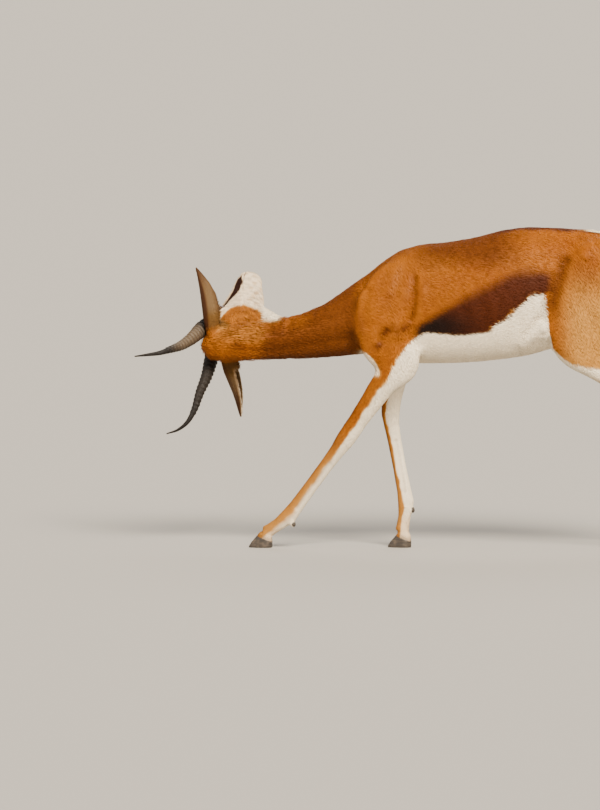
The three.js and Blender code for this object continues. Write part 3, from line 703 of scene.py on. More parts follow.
def bodyDeepAndShade(at):    # deeper brown: painted shade on the neck, the back and withers, in the creases and in the grooves beside the tendons, and the own darker brown of the flank, the shins and patches by the poll
    x, z, out, wander = at.x, at.z, at.out, at.wander
    # painted shade over the neck, less on its upper part near the head
    neck = between(x, -338, -98, 22) * (0.9 - 0.5 * ease(z, 515, 560) * between(x, -330, -230, 30))
    neck *= ease(z, 440, 458)
    # painted shade along the top of the back and over the withers
    saddle = 0.95 * between(x, 30, 280, 55) * ease(z + wander, 650, 716)
    withers = 0.6 * between(x, -140, 70, 25) * (1 - ease(out + 0.6 * wander, 26, 52)) * ease(z, 560, 600)
    flank = 0.2 * between(x, -60, 300, 45) * ease(z, 545, 600)
    deep = np.maximum.reduce([neck, saddle, withers, flank])
    # painted shade in the folds
    for line, wide, most in marksPlan["creases"]:
        off, place = sideDistance(at.body, line)
        ends = ease(place, 0, 0.7) * (1 - ease(place, len(line) - 1.7, len(line) - 1))
        deep = np.maximum(deep, most * bell(off, wide) * ease(out, 20, 45) * ends)
    # painted shade in the grooves beside the tendons
    deep = np.maximum(deep, 0.4 * bell(tendonGroove(at.body), 3))
    shin = bell(at.angle + 4, 24) * between(at.along, 0.45, 1.75, 0.2) * (at.off < 40) * at.fore
    deep = np.maximum(deep, 0.9 * shin)
    patches = ease(ripple(at.body, 46, 14) + 0.6 * ripple(at.body * (0.4, 1, 1), 15, 15), 0.1, 0.7)
    deep = np.maximum(deep, 0.75 * patches * between(x, -445, -300, 18) * ease(z, 470, 490))
    return deep * (1 - 0.5 * at.gold)


def faceFawn(at, wobble):    # forehead, cheeks, poll, a tint over the nose and a faint cast on the rest
    ahead, across, up = at.head[:, 0], np.abs(at.head[:, 1]), at.head[:, 2]
    forehead = (1 - ease(ahead + wobble, 92, 112)) * ease(up + 0.2 * across, 16, 30)
    forehead *= 1 - 0.7 * bell(eyeDistance(at.head) - 17, 4)
    edge = np.interp(up, faceMarks["cheekHeights"], faceMarks["cheekEdge"])
    cheek = (1 - ease(ahead + wobble, edge - 6, edge + 6)) * (1 - ease(up, 6, 20)) * 0.92
    poll = (1 - ease(ahead, 18, 46)) * (1 - 0.14 * at.gold)
    nose = 0.25 * ease(ahead, 222, 250) * ease(up, -14, 0)
    cast = 0.1 + 0.14 * np.clip(ripple(at.head, 18, 33), 0, 1)
    return np.maximum.reduce([np.maximum.reduce([forehead, cheek, poll]) * (1 - at.throat), nose, cast])


def faceDark(at, wobble):    # stripe from the eye to the lip, its own dark brown widened by painted shade on the side of the nose, nostrils, mouth, end of the nose, and lids
    ahead, across, up = at.head[:, 0], np.abs(at.head[:, 1]), at.head[:, 2]
    dark = np.zeros(len(ahead))
    for side in sides:
        off, place = pathDistance(at.head * (1, side, 1), faceMarks["stripe"])
        wide = np.interp(place, range(5), faceMarks["stripeWidths"])
        dark = np.maximum(dark, 1 - ease(off + wobble * 0.3, wide - 2, wide + 2))
        dark = np.maximum(dark, 1 - ease(pathDistance(at.head, onSide(nostrilLine, side))[0], 2.5, 6.5))
    lip = sideDistance(at.head, mouthLine)[0]
    dark = np.maximum(dark, 0.55 * (1 - ease(lip, 0.8, 2.4)) * ease(ahead, 228, 246))
    noseEnd = 0.9 * ease(ahead, 262, 267) * (1 - ease(across, 8, 12)) * between(up, -14, 6, 3)
    return np.maximum.reduce([dark, noseEnd, 0.95 * (1 - ease(lidEdge(at.head), 1.28, 1.5))])


def markEars(marks, at, normals):    # the ears' own markings are laid over the others
    for (place, off, across, ahead), side in zip(earSpots(at.head), sides):
        on = ease(place, 0.02, 0.14) * (1 - ease(off, 34, 42)) * (np.abs(at.head[:, 1]) > 30)
        facing = (normals @ headAxes) @ unit(ram["earOpenings"][side])
        across = across / np.interp(place, earPlan["stations"], earPlan["halfWidths"])
        ahead = ahead / np.interp(place, earPlan["stations"], earPlan["depths"])
        inner = ease(facing, 0.05, 0.35) * ease(place, 0.16, 0.22)
        if side > 0:
            rim = ease(ahead, 0.3, 0.62) * ease(place, 0.34, 0.5)
            dark = ease(place, 0.3, 0.8) * 0.8 * (1 - ease(ahead, -0.1, 0.4))
            dark = np.maximum(dark, 0.45 * ease(-ahead, 0.2, 0.8))
        else:
            rim = ease(-across, 0.55, 0.85) * (1 - ease(place, 0.02, 0.16))
            edge = 0.3 * ease(-across, 0.5, 0.95) * ease(place, 0.2, 0.3)
            # one half of the right ear's back is painted dark as shade; its tip is dark of its own
            dark = np.maximum.reduce([0.85 * ease(across, 0.1, 0.5), 0.75 * ease(place, 0.6, 0.98), edge])
        streaks = 0.35 * inner * np.clip(ripple(at.head, 9, 41) + 0.2, 0, 1)
        own = {
            "coatFawn": 0.7 * (1 - ease(place, 0.05, 0.4)) * (1 - inner) + 0.3,
            "coatGrey": (0.9 - 0.75 * rim) * (1 - 0.4 * inner),
            "coatDark": np.maximum(dark * (1 - rim), streaks),
            "coatDeep": 0,
        }
        for name, value in own.items():
            marks[name] = marks[name] * (1 - on) + on * value
        marks["coatFawn"] *= 1 - 0.9 * on * rim
        # the ears' dark parts go towards near black; on the right ear's darker half this is painted shade
        marks["coatShade"] = np.maximum(marks["coatShade"] * (1 - on), 0.55 * on * dark)


def markings(points, normals):
    at = coatPlaces(points)
    wobble = ripple(at.head, 26, 21) * 4 + ripple(at.head, 9, 22) * 1.6
    onFace = ease(at.head[:, 0], 2, 26) * (at.x < -290) * (at.head[:, 2] > -130)
    paleFace = faceFawn(at, wobble)
    darkFace = faceDark(at, wobble) * onFace
    fawn = bodyFawn(at) * (1 - onFace) + paleFace * onFace
    dark, shade = bodyDark(at)
    grey = 0.3 * onFace * (1 - paleFace) * np.clip(ripple(at.head, 14, 31) + 0.3, 0, 1)
    marks = {
        "coatFawn": fawn * (1 - at.throat * (at.head[:, 2] < -60)),
        "coatDark": dark, "coatShade": shade, "coatDeep": bodyDeepAndShade(at),
        "coatGrey": grey * (1 - 0.6 * at.throat),
    }
    markEars(marks, at, normals)
    coronet = (1 - ease(aboveCoronet(at.body), 2, 12)) * (at.z < 60)    # the skin over the hoofs
    marks["coatDark"] = np.maximum.reduce([marks["coatDark"], darkFace, 0.45 * coronet])
    # the face's dark marks go towards near black; on the stripe this is painted shade
    marks["coatShade"] = np.maximum(marks["coatShade"], darkFace * 0.8)
    marks["coatDeep"] *= 1 - onFace * (1 - paleFace)
    return marks


# Finishes

finishes = {
    "white": (0.95, 0.83, 0.63), "whiteShade": (0.82, 0.66, 0.44), "golden": (0.56, 0.27, 0.055),
    "fawn": (0.31, 0.083, 0.002), "fawnDeep": (0.22, 0.050, 0.001), "fawnPale": (0.37, 0.118, 0.005),
    "brown": (0.115, 0.028, 0.002), "band": (0.066, 0.012, 0.0012), "bandDeep": (0.009, 0.003, 0.0015),
    "grey": (0.098, 0.049, 0.013), "horn": (0.012, 0.010, 0.009), "hornWornAndLit": (0.13, 0.088, 0.052),
    "hoof": (0.030, 0.024, 0.019), "hoofWorn": (0.085, 0.060, 0.040),
    "iris": (0.020, 0.008, 0.004), "irisPale": (0.045, 0.018, 0.008), "pupil": (0.003, 0.003, 0.004),
    "eyeRim": (0.012, 0.007, 0.005), "hornRidge": (0.20, 0.14, 0.085), "hoofScuff": (0.15, 0.105, 0.07),
    "floor": (0.36, 0.335, 0.30, 1), "studio": (1, 0.98, 0.95, 1),
}


class Nodes:    # short hand for building one material
    def __init__(self, name):
        self.material = bpy.data.materials.new(name)
        self.material.use_nodes = True
        self.tree = self.material.node_tree
        self.shader = self.tree.nodes["Principled BSDF"]
        self.place = self.add("ShaderNodeTexCoord").outputs["Object"]

    def add(self, kind, **settings):
        node = self.tree.nodes.new(kind)
        for name, value in settings.items():
            setattr(node, name, value)
        return node

    def feed(self, socket, value):
        if isinstance(value, bpy.types.NodeSocket):
            self.tree.links.new(value, socket)
        elif isinstance(value, tuple) and len(value) == 3 and socket.type == "RGBA":
            socket.default_value = (*value, 1)
        else:
            socket.default_value = value

    def mix(self, share, a, b, blend="MIX"):
        node = self.add("ShaderNodeMix", data_type="RGBA", blend_type=blend)
        self.feed(node.inputs[0], share)
        self.feed(node.inputs[6], a)
        self.feed(node.inputs[7], b)
        return node.outputs[2]

    def maths(self, kind, a, b=0.0):
        node = self.add("ShaderNodeMath", operation=kind)
        self.feed(node.inputs[0], a)
        self.feed(node.inputs[1], b)
        return node.outputs[0]

    def spread(self, value, low, high, toLow, toHigh):
        node = self.add("ShaderNodeMapRange")
        for socket, part in zip(node.inputs[:5], (value, low, high, toLow, toHigh)):
            self.feed(socket, part)
        return node.outputs[0]

    def noise(self, size, detail=3, vector=None, stretch=None):
        node = self.add("ShaderNodeTexNoise")
        vector = vector or self.place
        if stretch:
            mapping = self.add("ShaderNodeMapping")
            self.feed(mapping.inputs["Vector"], vector)
            self.feed(mapping.inputs["Scale"], stretch)
            vector = mapping.outputs[0]
        self.feed(node.inputs["Vector"], vector)
        self.feed(node.inputs["Scale"], size)
        self.feed(node.inputs["Detail"], detail)
        return node.outputs[0]

    def attribute(self, name):
        return self.add("ShaderNodeAttribute", attribute_name=name).outputs["Fac"]

    def bump(self, height, distance, strength=1.0):
        node = self.add("ShaderNodeBump")
        self.feed(node.inputs["Height"], height)
        self.feed(node.inputs["Distance"], distance)
        self.feed(node.inputs["Strength"], strength)
        self.feed(self.shader.inputs["Normal"], node.outputs[0])

    def set(self, **values):
        for name, value in values.items():
            self.feed(self.shader.inputs[name.replace("_", " ")], value)


def coatFinish(name, bumpSize):
    kit = Nodes(name)
    tone = kit.noise(55, 4)
    broad = kit.noise(7, 2)
    fine = kit.noise(900, 2)
    fawn = kit.mix(kit.spread(tone, 0.3, 0.7, 0.3, 1), finishes["fawnDeep"], finishes["fawn"])
    fawn = kit.mix(kit.spread(broad, 0.35, 0.65, 0.0, 0.5), fawn, finishes["fawnPale"])
    white = kit.mix(kit.spread(fine, 0.35, 0.7, 0, 0.2), finishes["white"], finishes["whiteShade"])
    share = kit.attribute("coatFawn")
    color = kit.mix(kit.spread(share, 0, 0.5, 0, 1), white, finishes["golden"])
    color = kit.mix(kit.spread(share, 0.4, 1, 0, 1), color, fawn)
    color = kit.mix(kit.attribute("coatDeep"), color, finishes["brown"])
    color = kit.mix(kit.attribute("coatGrey"), color, finishes["grey"])
    deep = kit.mix(kit.attribute("coatShade"), finishes["band"], finishes["bandDeep"])
    color = kit.mix(kit.attribute("coatDark"), color, deep)
    strand = kit.spread(kit.attribute("coatTone"), 0, 1, 0.8, 1.18)
    tip = kit.spread(kit.attribute("coatTip"), 0, 1, 0.9, 1.06)
    level = kit.maths("MULTIPLY", strand, tip)
    shadeColor = kit.add("ShaderNodeCombineColor")
    for socket in shadeColor.inputs:
        kit.feed(socket, level)
    color = kit.mix(1.0, color, shadeColor.outputs[0], "MULTIPLY")
    kit.set(Base_Color=color, Roughness=kit.spread(fine, 0.3, 0.7, 0.5, 0.64), Specular_IOR_Level=0.12)
    kit.bump(kit.noise(bumpSize, 3), 0.3 / bumpSize, 0.5)
    return kit.material


skinFinish = coatFinish("hairySkin", 500)
tuftFinish = coatFinish("hairTufts", 1400)

skin = makeSkin()
smoothSkin(skin)
shapeSkin(skin)
sharpenMesh(skin)
shapeFace(skin)
refine(skin, "DECIMATE", ratio=skinPlan["keptFaces"])
skinMarks = markings(pointsOf(skin), normalsOf(skin))
skinMarks["coatTone"] = np.full(len(skin.data.vertices), 0.4)
skinMarks["coatTip"] = np.full(len(skin.data.vertices), 0.15)
storeMarks(skin, skinMarks)
finished(skin, skinFinish)
print("skin,", len(skin.data.polygons), "faces")


def unwrapped(obj):    # the map of the skin on which each tuft finds its place
    withoutMaps(obj)
    obj.data.uv_layers.new(name="OFBake")
    inEditMode(obj, "FACE")
    bpy.ops.mesh.select_all(action="SELECT")
    bpy.ops.uv.smart_project(angle_limit=1.15, island_margin=0.004, scale_to_bounds=True)
    bpy.ops.object.mode_set(mode="OBJECT")


unwrapped(skin)
print("skin unwrapped")


# Coat: closed tufts, rooted on the skin and laid along the body

coatPlan = {
    "tufts": 140000, "mostInPiece": 19500, "seed": 21, "patch": 0.0015, "sunk": 0.0006,
    "tailHair": (15, 17, 22, 34, 46), "tailLift": (0.16, 0.14, 0.12, 0.13, 0.14),
}
tuftFaces = (0, 1, 2, 0, 3, 4, 0, 4, 1, 1, 4, 5, 1, 5, 2, 2, 5, 3, 2, 3, 0, 3, 6, 4, 4, 6, 5, 5, 6, 3)
tuftMap = ((-1, -1), (1, -1), (0, -1), (-0.8, 0.2), (0.8, 0.2), (0, 0.2), (0, 1))
tuftTips = (0, 0, 0, 0.55, 0.55, 0.55, 1)


# Line, reach, hair length, lift, spread in degrees, and the lie where it isn't that of the line
def coatGuides():
    def headLine(start, end):
        return bodyPlace(onHead([start, end]))

    poll = headLine((1, 0, 0), (0, 0, 0))
    backward = unit(poll[1] - poll[0])
    guides = [
        ((-440, 18, 482), (-330, 10, 498), 50, 16, 0.2, 15, None),
        ((-310, 8, 500), (-150, 0, 528), 54, 13.5, 0.13, 10, None),
        ((-120, 0, 560), (60, 0, 600), 92, 10.5, 0.06, 5, (1, 0, -0.5)),
        ((60, 0, 610), (300, 0, 625), 98, 10.5, 0.055, 4.5, (1, 0, -0.32)),
        ((300, 0, 630), (560, 0, 660), 92, 11, 0.055, 4.5, (1, 0, -0.3)),
        ((445, 0, 762), (625, 0, 712), 17, 19, 0.1, 8, (1, 0, -0.22)),
        ((612, 0, 690), (640, 0, 600), 34, 17, 0.16, 12, (0.3, 0, -1)),
    ]
    for side in sides:
        fore = np.array(ram["foreLeft" if side < 0 else "foreRight"], float)
        hind = np.array(ram["hindLeft" if side < 0 else "hindRight"], float)
        guides.append(((6, side * 52, 690), fore[0], 40, 9.5, 0.045, 4, (0.35, 0, -1)))
        guides.append(((500, side * 62, 720), hind[0], 84, 10.5, 0.055, 4.5, (0.42, 0, -1)))
        for joints, top in ((fore, 27), (hind, 36)):
            guides.append((joints[0], joints[1], top, 7.5, 0.07, 5, None))
            guides.append((joints[1], joints[2], 14, 5, 0.06, 4, None))
            guides.append((joints[2], joints[3], 14, 5.5, 0.1, 6, None))
        base, line = earLine(side)
        guides.append((*headLine(base, base + line * ram["earLength"]), 16, 5.5, 0.07, 6, None))
    guides.append((*headLine((30, 0, 0), (120, 0, -6)), 42, 7.5, 0.14, 10, backward))
    guides.append((*headLine((-8, 0, 22), (-26, 0, 4)), 34, 11, 0.12, 10, (1, 0, 0.1)))
    guides.append((bodyPlace(onHead([(134, 0, -56)]))[0], (-256, 20, 520), 30, 9, 0.08, 6, None))
    guides.append((*headLine((130, 0, -10), (222, 0, -16)), 26, 4.6, 0.09, 6, backward))
    guides.append((*headLine((232, 0, -16), (266, 0, -18)), 18, 2.6, 0.13, 8, backward))
    tail = np.array(ram["tail"], float)
    for start, end, hair, lift in zip(tail, tail[1:], coatPlan["tailHair"], coatPlan["tailLift"]):
        guides.append((start, end, 12, hair, lift, 9, None))
    return guides


def coatField(body):    # lie, hair length, lift and spread at each place
    total = np.zeros(len(body))
    lie = np.zeros((len(body), 3))
    traits = np.zeros((len(body), 3))
    for start, end, reach, length, lift, spread, direction in coatGuides():
        start, end = np.array(start, float), np.array(end, float)
        weight = 1 / (pathDistance(body, [start, end])[0] / reach + 0.08) ** 6
        total += weight
        lie += weight[:, None] * unit(end - start if direction is None else direction)
        traits += weight[:, None] * np.array((length, lift, spread))
    return unit(lie), *(traits / total[:, None]).T


def tuftWidth(length):
    return 0.5 + 0.085 * np.minimum(length, 26) + 0.03 * np.maximum(length - 26, 0)


def rootsOn(skin, count):
    mesh = skin.data
    mesh.calc_loop_triangles()
    number = len(mesh.loop_triangles)
    corners = np.empty(number * 3, np.int32)
    loops = np.empty(number * 3, np.int32)
    area = np.empty(number)
    mesh.loop_triangles.foreach_get("vertices", corners)
    mesh.loop_triangles.foreach_get("loops", loops)
    mesh.loop_triangles.foreach_get("area", area)
    corners, loops = corners.reshape(-1, 3), loops.reshape(-1, 3)
    uv = np.empty(len(mesh.loops) * 2)
    mesh.uv_layers["OFBake"].data.foreach_get("uv", uv)
    uv = uv.reshape(-1, 2)
    points, normals = pointsOf(skin), normalsOf(skin)
    middle = points[corners].mean(axis=1)
    body, head = bodyPlace(middle), headPlace(middle)
    length = coatField(body)[1]
    # no tufts on the edges of the lids, the hoofs, the feet of the horns and the end of the nose
    bare = (lidEdge(head) < 1.34) | (aboveCoronet(body) < 1.5)
    for side in sides:
        horn, place = pathDistance(head * (1, side, 1), hornLine[:4])
        bare |= horn < 21 - 2.4 * place
    bare |= (head[:, 0] > 262) & (np.abs(head[:, 1]) < 11) & (head[:, 2] > -14) & (body[:, 0] < -300)
    weight = np.where(bare, 0, area / (length * tuftWidth(length)))
    rng = np.random.default_rng(coatPlan["seed"])
    ladder = np.cumsum(weight)
    picks = (np.arange(count) + rng.random(count)) / count * ladder[-1]
    chosen = np.searchsorted(ladder, picks).clip(0, number - 1)
    share = rng.dirichlet((1, 1, 1), count)
    root = (points[corners[chosen]] * share[..., None]).sum(axis=1)
    normal = unit((normals[corners[chosen]] * share[..., None]).sum(axis=1))
    place = (uv[loops[chosen]] * share[..., None]).sum(axis=1)
    return root, normal, place, rng


def hugging(skin, root, along, length, share):    # shifts of each tuft's middle and tip towards the skin
    tree = BVHTree.FromObject(skin, bpy.context.evaluated_depsgraph_get())
    shifts = []
    for part in (0.5, 1):
        places = root + along * (length * part * 0.001)[:, None]
        nearest = np.array([tree.find_nearest(place)[0] for place in places])
        shifts.append((nearest - places) * share[:, None])
    return np.stack(shifts, axis=1)


def onSurface(lie, normal):    # the lie laid flat on the skin, and the way across it
    along = unit(lie - (lie * normal).sum(axis=1, keepdims=True) * normal)
    return along, np.cross(normal, along)


def tuftMesh(name, root, normal, place, lie, shift, length, width, lift, marks):
    count = len(root)
    along, across = onSurface(lie, normal)
    length, width, rise = (value[:, None] * 0.001 for value in (length, width, length * lift))
    foot = root - normal * coatPlan["sunk"]
    middle = root + shift[:, 0] + along * length * 0.5 + normal * rise * 0.62
    tip = root + shift[:, 1] + along * length + normal * rise * 0.75
    ridge = normal * width * 0.18
    points = np.stack([
        foot - across * width * 0.5, foot + across * width * 0.5, foot + ridge,
        middle - across * width * 0.46, middle + across * width * 0.46, middle + ridge * 0.9, tip,
    ], axis=1).reshape(-1, 3)
    each = len(tuftMap)
    corners = np.array(tuftFaces)[None, :] + each * np.arange(count)[:, None]
    corners = corners.ravel().astype(np.int32)
    faces = len(corners) // 3
    mesh = bpy.data.meshes.new(name)
    mesh.vertices.add(count * each)
    mesh.vertices.foreach_set("co", points.ravel())
    mesh.loops.add(faces * 3)
    mesh.loops.foreach_set("vertex_index", corners)
    mesh.polygons.add(faces)
    mesh.polygons.foreach_set("loop_start", np.arange(0, faces * 3, 3, dtype=np.int32))
    mesh.polygons.foreach_set("loop_total", np.full(faces, 3, np.int32))
    mesh.update(calc_edges=True)
    mesh.polygons.foreach_set("use_smooth", np.ones(faces, bool))
    uv = (place[:, None, :] + np.array(tuftMap) * coatPlan["patch"]).reshape(-1, 2)[corners]
    mesh.uv_layers.new(name="OFBake").data.foreach_set("uv", uv.ravel())
    mesh.materials.append(tuftFinish)
    obj = bpy.data.objects.new(name, mesh)
    bpy.context.collection.objects.link(obj)
    storeMarks(obj, {label: np.repeat(values, each) for label, values in marks.items()})
    storeMarks(obj, {"coatTip": np.tile(tuftTips, count)})
    return obj


def makeCoat(skin):
    root, normal, place, rng = rootsOn(skin, coatPlan["tufts"])
    body, head = bodyPlace(root), headPlace(root)
    lie, length, lift, spread = coatField(body)
    count = len(root)
    follow = 1 - ease(lift, 0.1, 0.13)
    length = length * (0.25 + 0.75 * ease(eyeDistance(head), 16, 30))
    length = length * rng.uniform(0.78, 1.2, count)
    width = tuftWidth(length) * rng.uniform(0.8, 1.15, count)
    clump = ripple(body, 38, 51)
    lift = lift * (1 + 0.45 * ripple(body, 30, 52)) * rng.uniform(0.6, 1.35, count)
    turn = np.radians(spread * (0.75 * clump + 0.5 * rng.normal(size=count)))
    along, across = onSurface(lie, normal)
    lie = along * np.cos(turn)[:, None] + across * np.sin(turn)[:, None]
    shift = hugging(skin, root, lie, length, follow)
    marks = markings(root, normal)
    marks["coatTone"] = np.clip(0.5 + 0.15 * rng.normal(size=count) + 0.14 * ripple(body, 16, 53), 0, 1)
    ears = np.zeros(count, bool)
    for along, off, *rest in earSpots(head):
        ears |= (along > 0.08) & (off < 40) & (np.abs(head[:, 1]) > 34)
    fawn = (marks["coatFawn"] > 0.5) | (marks["coatDark"] > 0.5)
    groups = (
        ("coatEars", "ear_coat", ears),
        ("coatFawn", "fawn_coat", ~ears & fawn),
        ("coatWhite", "white_coat", ~ears & ~fawn),
    )
    for label, slot, chosen in groups:
        index = np.nonzero(chosen)[0]
        index = index[np.argsort(body[index, 0])]
        parts = max(1, math.ceil(len(index) / coatPlan["mostInPiece"]))
        for number, part in enumerate(np.array_split(index, parts), 1):
            traits = (root, normal, place, lie, shift, length, width, lift)
            chosenMarks = {mark: values[part] for mark, values in marks.items()}
            piece = tuftMesh(f"{label}{number}", *(trait[part] for trait in traits), chosenMarks)
            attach(piece, "root")
            print(piece.name, len(part), "tufts")


makeCoat(skin)


# Horns: a ringed rod, swept along the curve of the horn

hornPlan = {
    "baseRadius": 21, "tipRadius": 1.2, "taper": 0.93, "rings": 20, "ringedPart": 0.72, "swell": 2.9,
    "around": 32, "stations": 280, "flatness": 0.93,
}


def curveThrough(points, count):    # even steps on a smooth curve through the points
    points = np.asarray(points, float)
    ends = np.vstack([2 * points[0] - points[1], points, 2 * points[-1] - points[-2]])
    fine = []
    for p0, p1, p2, p3 in zip(ends, ends[1:], ends[2:], ends[3:]):
        for t in np.linspace(0, 1, 40, endpoint=False):
            fine.append(0.5 * (2 * p1 + (p2 - p0) * t + (2 * p0 - 5 * p1 + 4 * p2 - p3) * t ** 2
                               + (3 * p1 - p0 - 3 * p2 + p3) * t ** 3))
    fine = np.array(fine + [points[-1]])
    way = np.concatenate([[0], np.cumsum(np.linalg.norm(np.diff(fine, axis=0), axis=1))])
    steps = np.linspace(0, way[-1], count)
    return np.column_stack([np.interp(steps, way, fine[:, axis]) for axis in range(3)])


def hornRadius(t):    # plain radius, and how far the ring stands out, at a share t of the length
    radius = hornPlan["baseRadius"] * (1 - hornPlan["taper"] * t)
    turn = t / hornPlan["ringedPart"] * hornPlan["rings"] % 1
    ring = ease(turn, 0.05, 0.6) * (1 - ease(turn, 0.68, 1)) * (t < hornPlan["ringedPart"])
    fading = 1 - 0.62 * t / hornPlan["ringedPart"]
    return max(radius, hornPlan["tipRadius"]), hornPlan["swell"] * ring * fading


def hornRod(name):    # straight, along z, by repeated extrusion
    last = sum(hornRadius(0))
    bpy.ops.object.select_all(action="DESELECT")
    bpy.ops.mesh.primitive_circle_add(vertices=hornPlan["around"], radius=last, fill_type="NGON")
    rod = bpy.context.object
    rod.name = name
    bpy.ops.object.mode_set(mode="EDIT")
    bpy.ops.mesh.select_all(action="SELECT")
    for i in range(1, hornPlan["stations"]):
        radius = sum(hornRadius(i / (hornPlan["stations"] - 1)))
        bpy.ops.mesh.extrude_region_move(TRANSFORM_OT_translate={"value": (0, 0, 1)})
        size = radius / last
        bpy.ops.transform.resize(value=(size, size, 1), center_override=(0, 0, i))
        last = radius
    bpy.ops.object.mode_set(mode="OBJECT")
    return rod


def hornFinish():
    kit = Nodes("ringedHorn")
    grain = kit.noise(60, 4, kit.add("ShaderNodeUVMap", uv_map="hornMap").outputs[0], (6, 0.35, 1))
    rubbed = kit.spread(kit.noise(240, 3), 0.35, 0.65, 0.2, 1)
    worn = kit.maths("MULTIPLY", kit.attribute("hornRing"), rubbed)
    middle = kit.attribute("hornLitMiddle")
    # the lighter middle is painted light, as sunlit horn
    base = kit.mix(kit.maths("MULTIPLY", middle, 0.55), finishes["horn"], finishes["hornWornAndLit"])
    # the rubbed ridges there turn lighter, partly wear and partly painted highlight
    wornLitRidges = kit.maths("MULTIPLY", worn, kit.spread(middle, 0, 1, 0.0, 0.75))
    color = kit.mix(wornLitRidges, base, finishes["hornRidge"])
    color = kit.mix(kit.spread(grain, 0.45, 0.75, 0, 0.06), color, finishes["hornWornAndLit"])
    kit.set(Base_Color=color, Roughness=kit.spread(grain, 0.3, 0.7, 0.28, 0.44), Specular_IOR_Level=0.14)
    kit.bump(grain, 0.0012, 0.6)
    return kit.material


def makeHorns():
    material = hornFinish()
    for side, label in zip(sides, ("left", "right")):
        rod = hornRod(f"horn{label.capitalize()}")
        straight = pointsOf(rod)
        count = hornPlan["stations"]
        line = curveThrough(onSide(hornLine, side), count)
        tangent = unit(np.gradient(line, axis=0))
        across = unit(np.cross(tangent, (0.5, side, 0)))
        ahead = np.cross(across, tangent)
        step = np.rint(straight[:, 2]).astype(int).clip(0, count - 1)
        angle = np.arctan2(straight[:, 1], straight[:, 0])
        radius = np.hypot(straight[:, 0], straight[:, 1])
        plain = np.array([hornRadius(i / (count - 1)) for i in range(count)])
        ring = plain[step, 1] * (0.85 + 0.3 * np.cos(angle) + 0.12 * np.sin(5 * angle + step * 0.9))
        radius = np.where(radius > 0.01, plain[step, 0] + ring, 0)
        radius += 0.25 * np.sin(9 * angle + 0.05 * step) * (radius > 8)
        place = line[step] + ahead[step] * (radius * np.cos(angle))[:, None]
        place += across[step] * (radius * np.sin(angle) * hornPlan["flatness"])[:, None]
        setPoints(rod, onHead(place))
        facingOut(rod)
        # the middle part is painted lighter, more on one side, as sunlit horn
        middle = between(step / count, 0.24, 0.62, 0.1) * (0.75 + 0.25 * np.cos(angle))
        middle *= 1 if side < 0 else 0.1    # the right horn's middle is painted lit; the left horn stays dark
        storeMarks(rod, {"hornLitMiddle": middle, "hornRing": plain[step, 1] / hornPlan["swell"]})
        setMap(rod, "hornMap", np.column_stack([np.abs(angle) / math.pi, step / count]))
        finished(rod, material)
        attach(rod, "root")
        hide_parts(f"horn_{label}")
    print("horns made")


makeHorns()


# Eyes: a ball with a slight bulge in front, and a wide dark pupil

eyePlan = {"size": 0.985, "bulge": 0.055, "bulgeWidth": 34}


def eyeFinish():
    kit = Nodes("darkEye")
    kit.place = kit.add("ShaderNodeUVMap", uv_map="eyeMap").outputs[0]
    ray = kit.noise(9, 3)
    length = kit.add("ShaderNodeVectorMath", operation="LENGTH")
    kit.feed(length.inputs[0], kit.place)
    mapping = kit.add("ShaderNodeMapping")
    kit.feed(mapping.inputs["Vector"], kit.place)
    kit.feed(mapping.inputs["Scale"], (1.0, 2.2, 1))
    slot = kit.add("ShaderNodeVectorMath", operation="LENGTH")
    kit.feed(slot.inputs[0], mapping.outputs[0])
    iris = kit.mix(kit.spread(ray, 0.35, 0.65, 0, 1), finishes["iris"], finishes["irisPale"])
    color = kit.mix(kit.spread(slot.outputs["Value"], 0.42, 0.5, 1, 0), iris, finishes["pupil"])
    color = kit.mix(kit.spread(length.outputs["Value"], 0.8, 0.95, 0, 1), color, finishes["eyeRim"])
    kit.set(Base_Color=color, Roughness=0.08, Specular_IOR_Level=0.35)
    kit.set(Coat_Weight=0.4, Coat_Roughness=0.02)
    return kit.material


def makeEyes():
    material = eyeFinish()
    for side, label in zip(sides, ("left", "right")):
        centre, look, ahead, above = eyeAxes(side)
        bpy.ops.object.select_all(action="DESELECT")
        bpy.ops.mesh.primitive_uv_sphere_add(segments=48, ring_count=32, radius=ram["eyeRadius"] * 0.001)
        ball = bpy.context.object
        ball.name = f"eye{label.capitalize()}"
        local = pointsOf(ball) * 1000 * eyePlan["size"]
        off = np.degrees(np.arccos(np.clip(unit(local)[:, 2], -1, 1)))
        local *= 1 + eyePlan["bulge"] * bell(off, eyePlan["bulgeWidth"])[:, None]
        place = centre + local[:, :1] * ahead + local[:, 1:2] * above + local[:, 2:] * look
        setPoints(ball, onHead(place))
        facingOut(ball)
        # the back of the ball lies well outside the pupil on the map
        setMap(ball, "eyeMap", local[:, :2] / ram["eyeRadius"] + (local[:, 2:] < 0) * 3)
        finished(ball, material)
        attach(ball, "root")
        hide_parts(f"eye_{label}")
    print("eyes made")


makeEyes()


# Hoofs and dewclaws

hoofPlan = {
    "voxel": 0.0013, "passes": 12, "share": 0.5, "sole": 0.0016, "crease": 50,
    "dewclawSize": (5.6, 4.8, 8.8), "dewclawPlace": (13.5, 8.5, -15), "dewclawHook": 4,
}


def hoofFinish():
    kit = Nodes("hoofHorn")
    layers = kit.noise(160, 3, None, (0.25, 0.25, 2.4))
    scuffs = kit.noise(90, 5)
    color = kit.mix(kit.spread(layers, 0.4, 0.7, 0, 0.6), finishes["hoof"], finishes["hoofWorn"])
    color = kit.mix(kit.spread(scuffs, 0.5, 0.75, 0, 0.5), color, finishes["hoofScuff"])
    kit.set(Base_Color=color, Roughness=kit.spread(scuffs, 0.3, 0.7, 0.38, 0.62))
    kit.set(Specular_IOR_Level=0.4)
    kit.bump(layers, 0.0009, 0.5)
    return kit.material


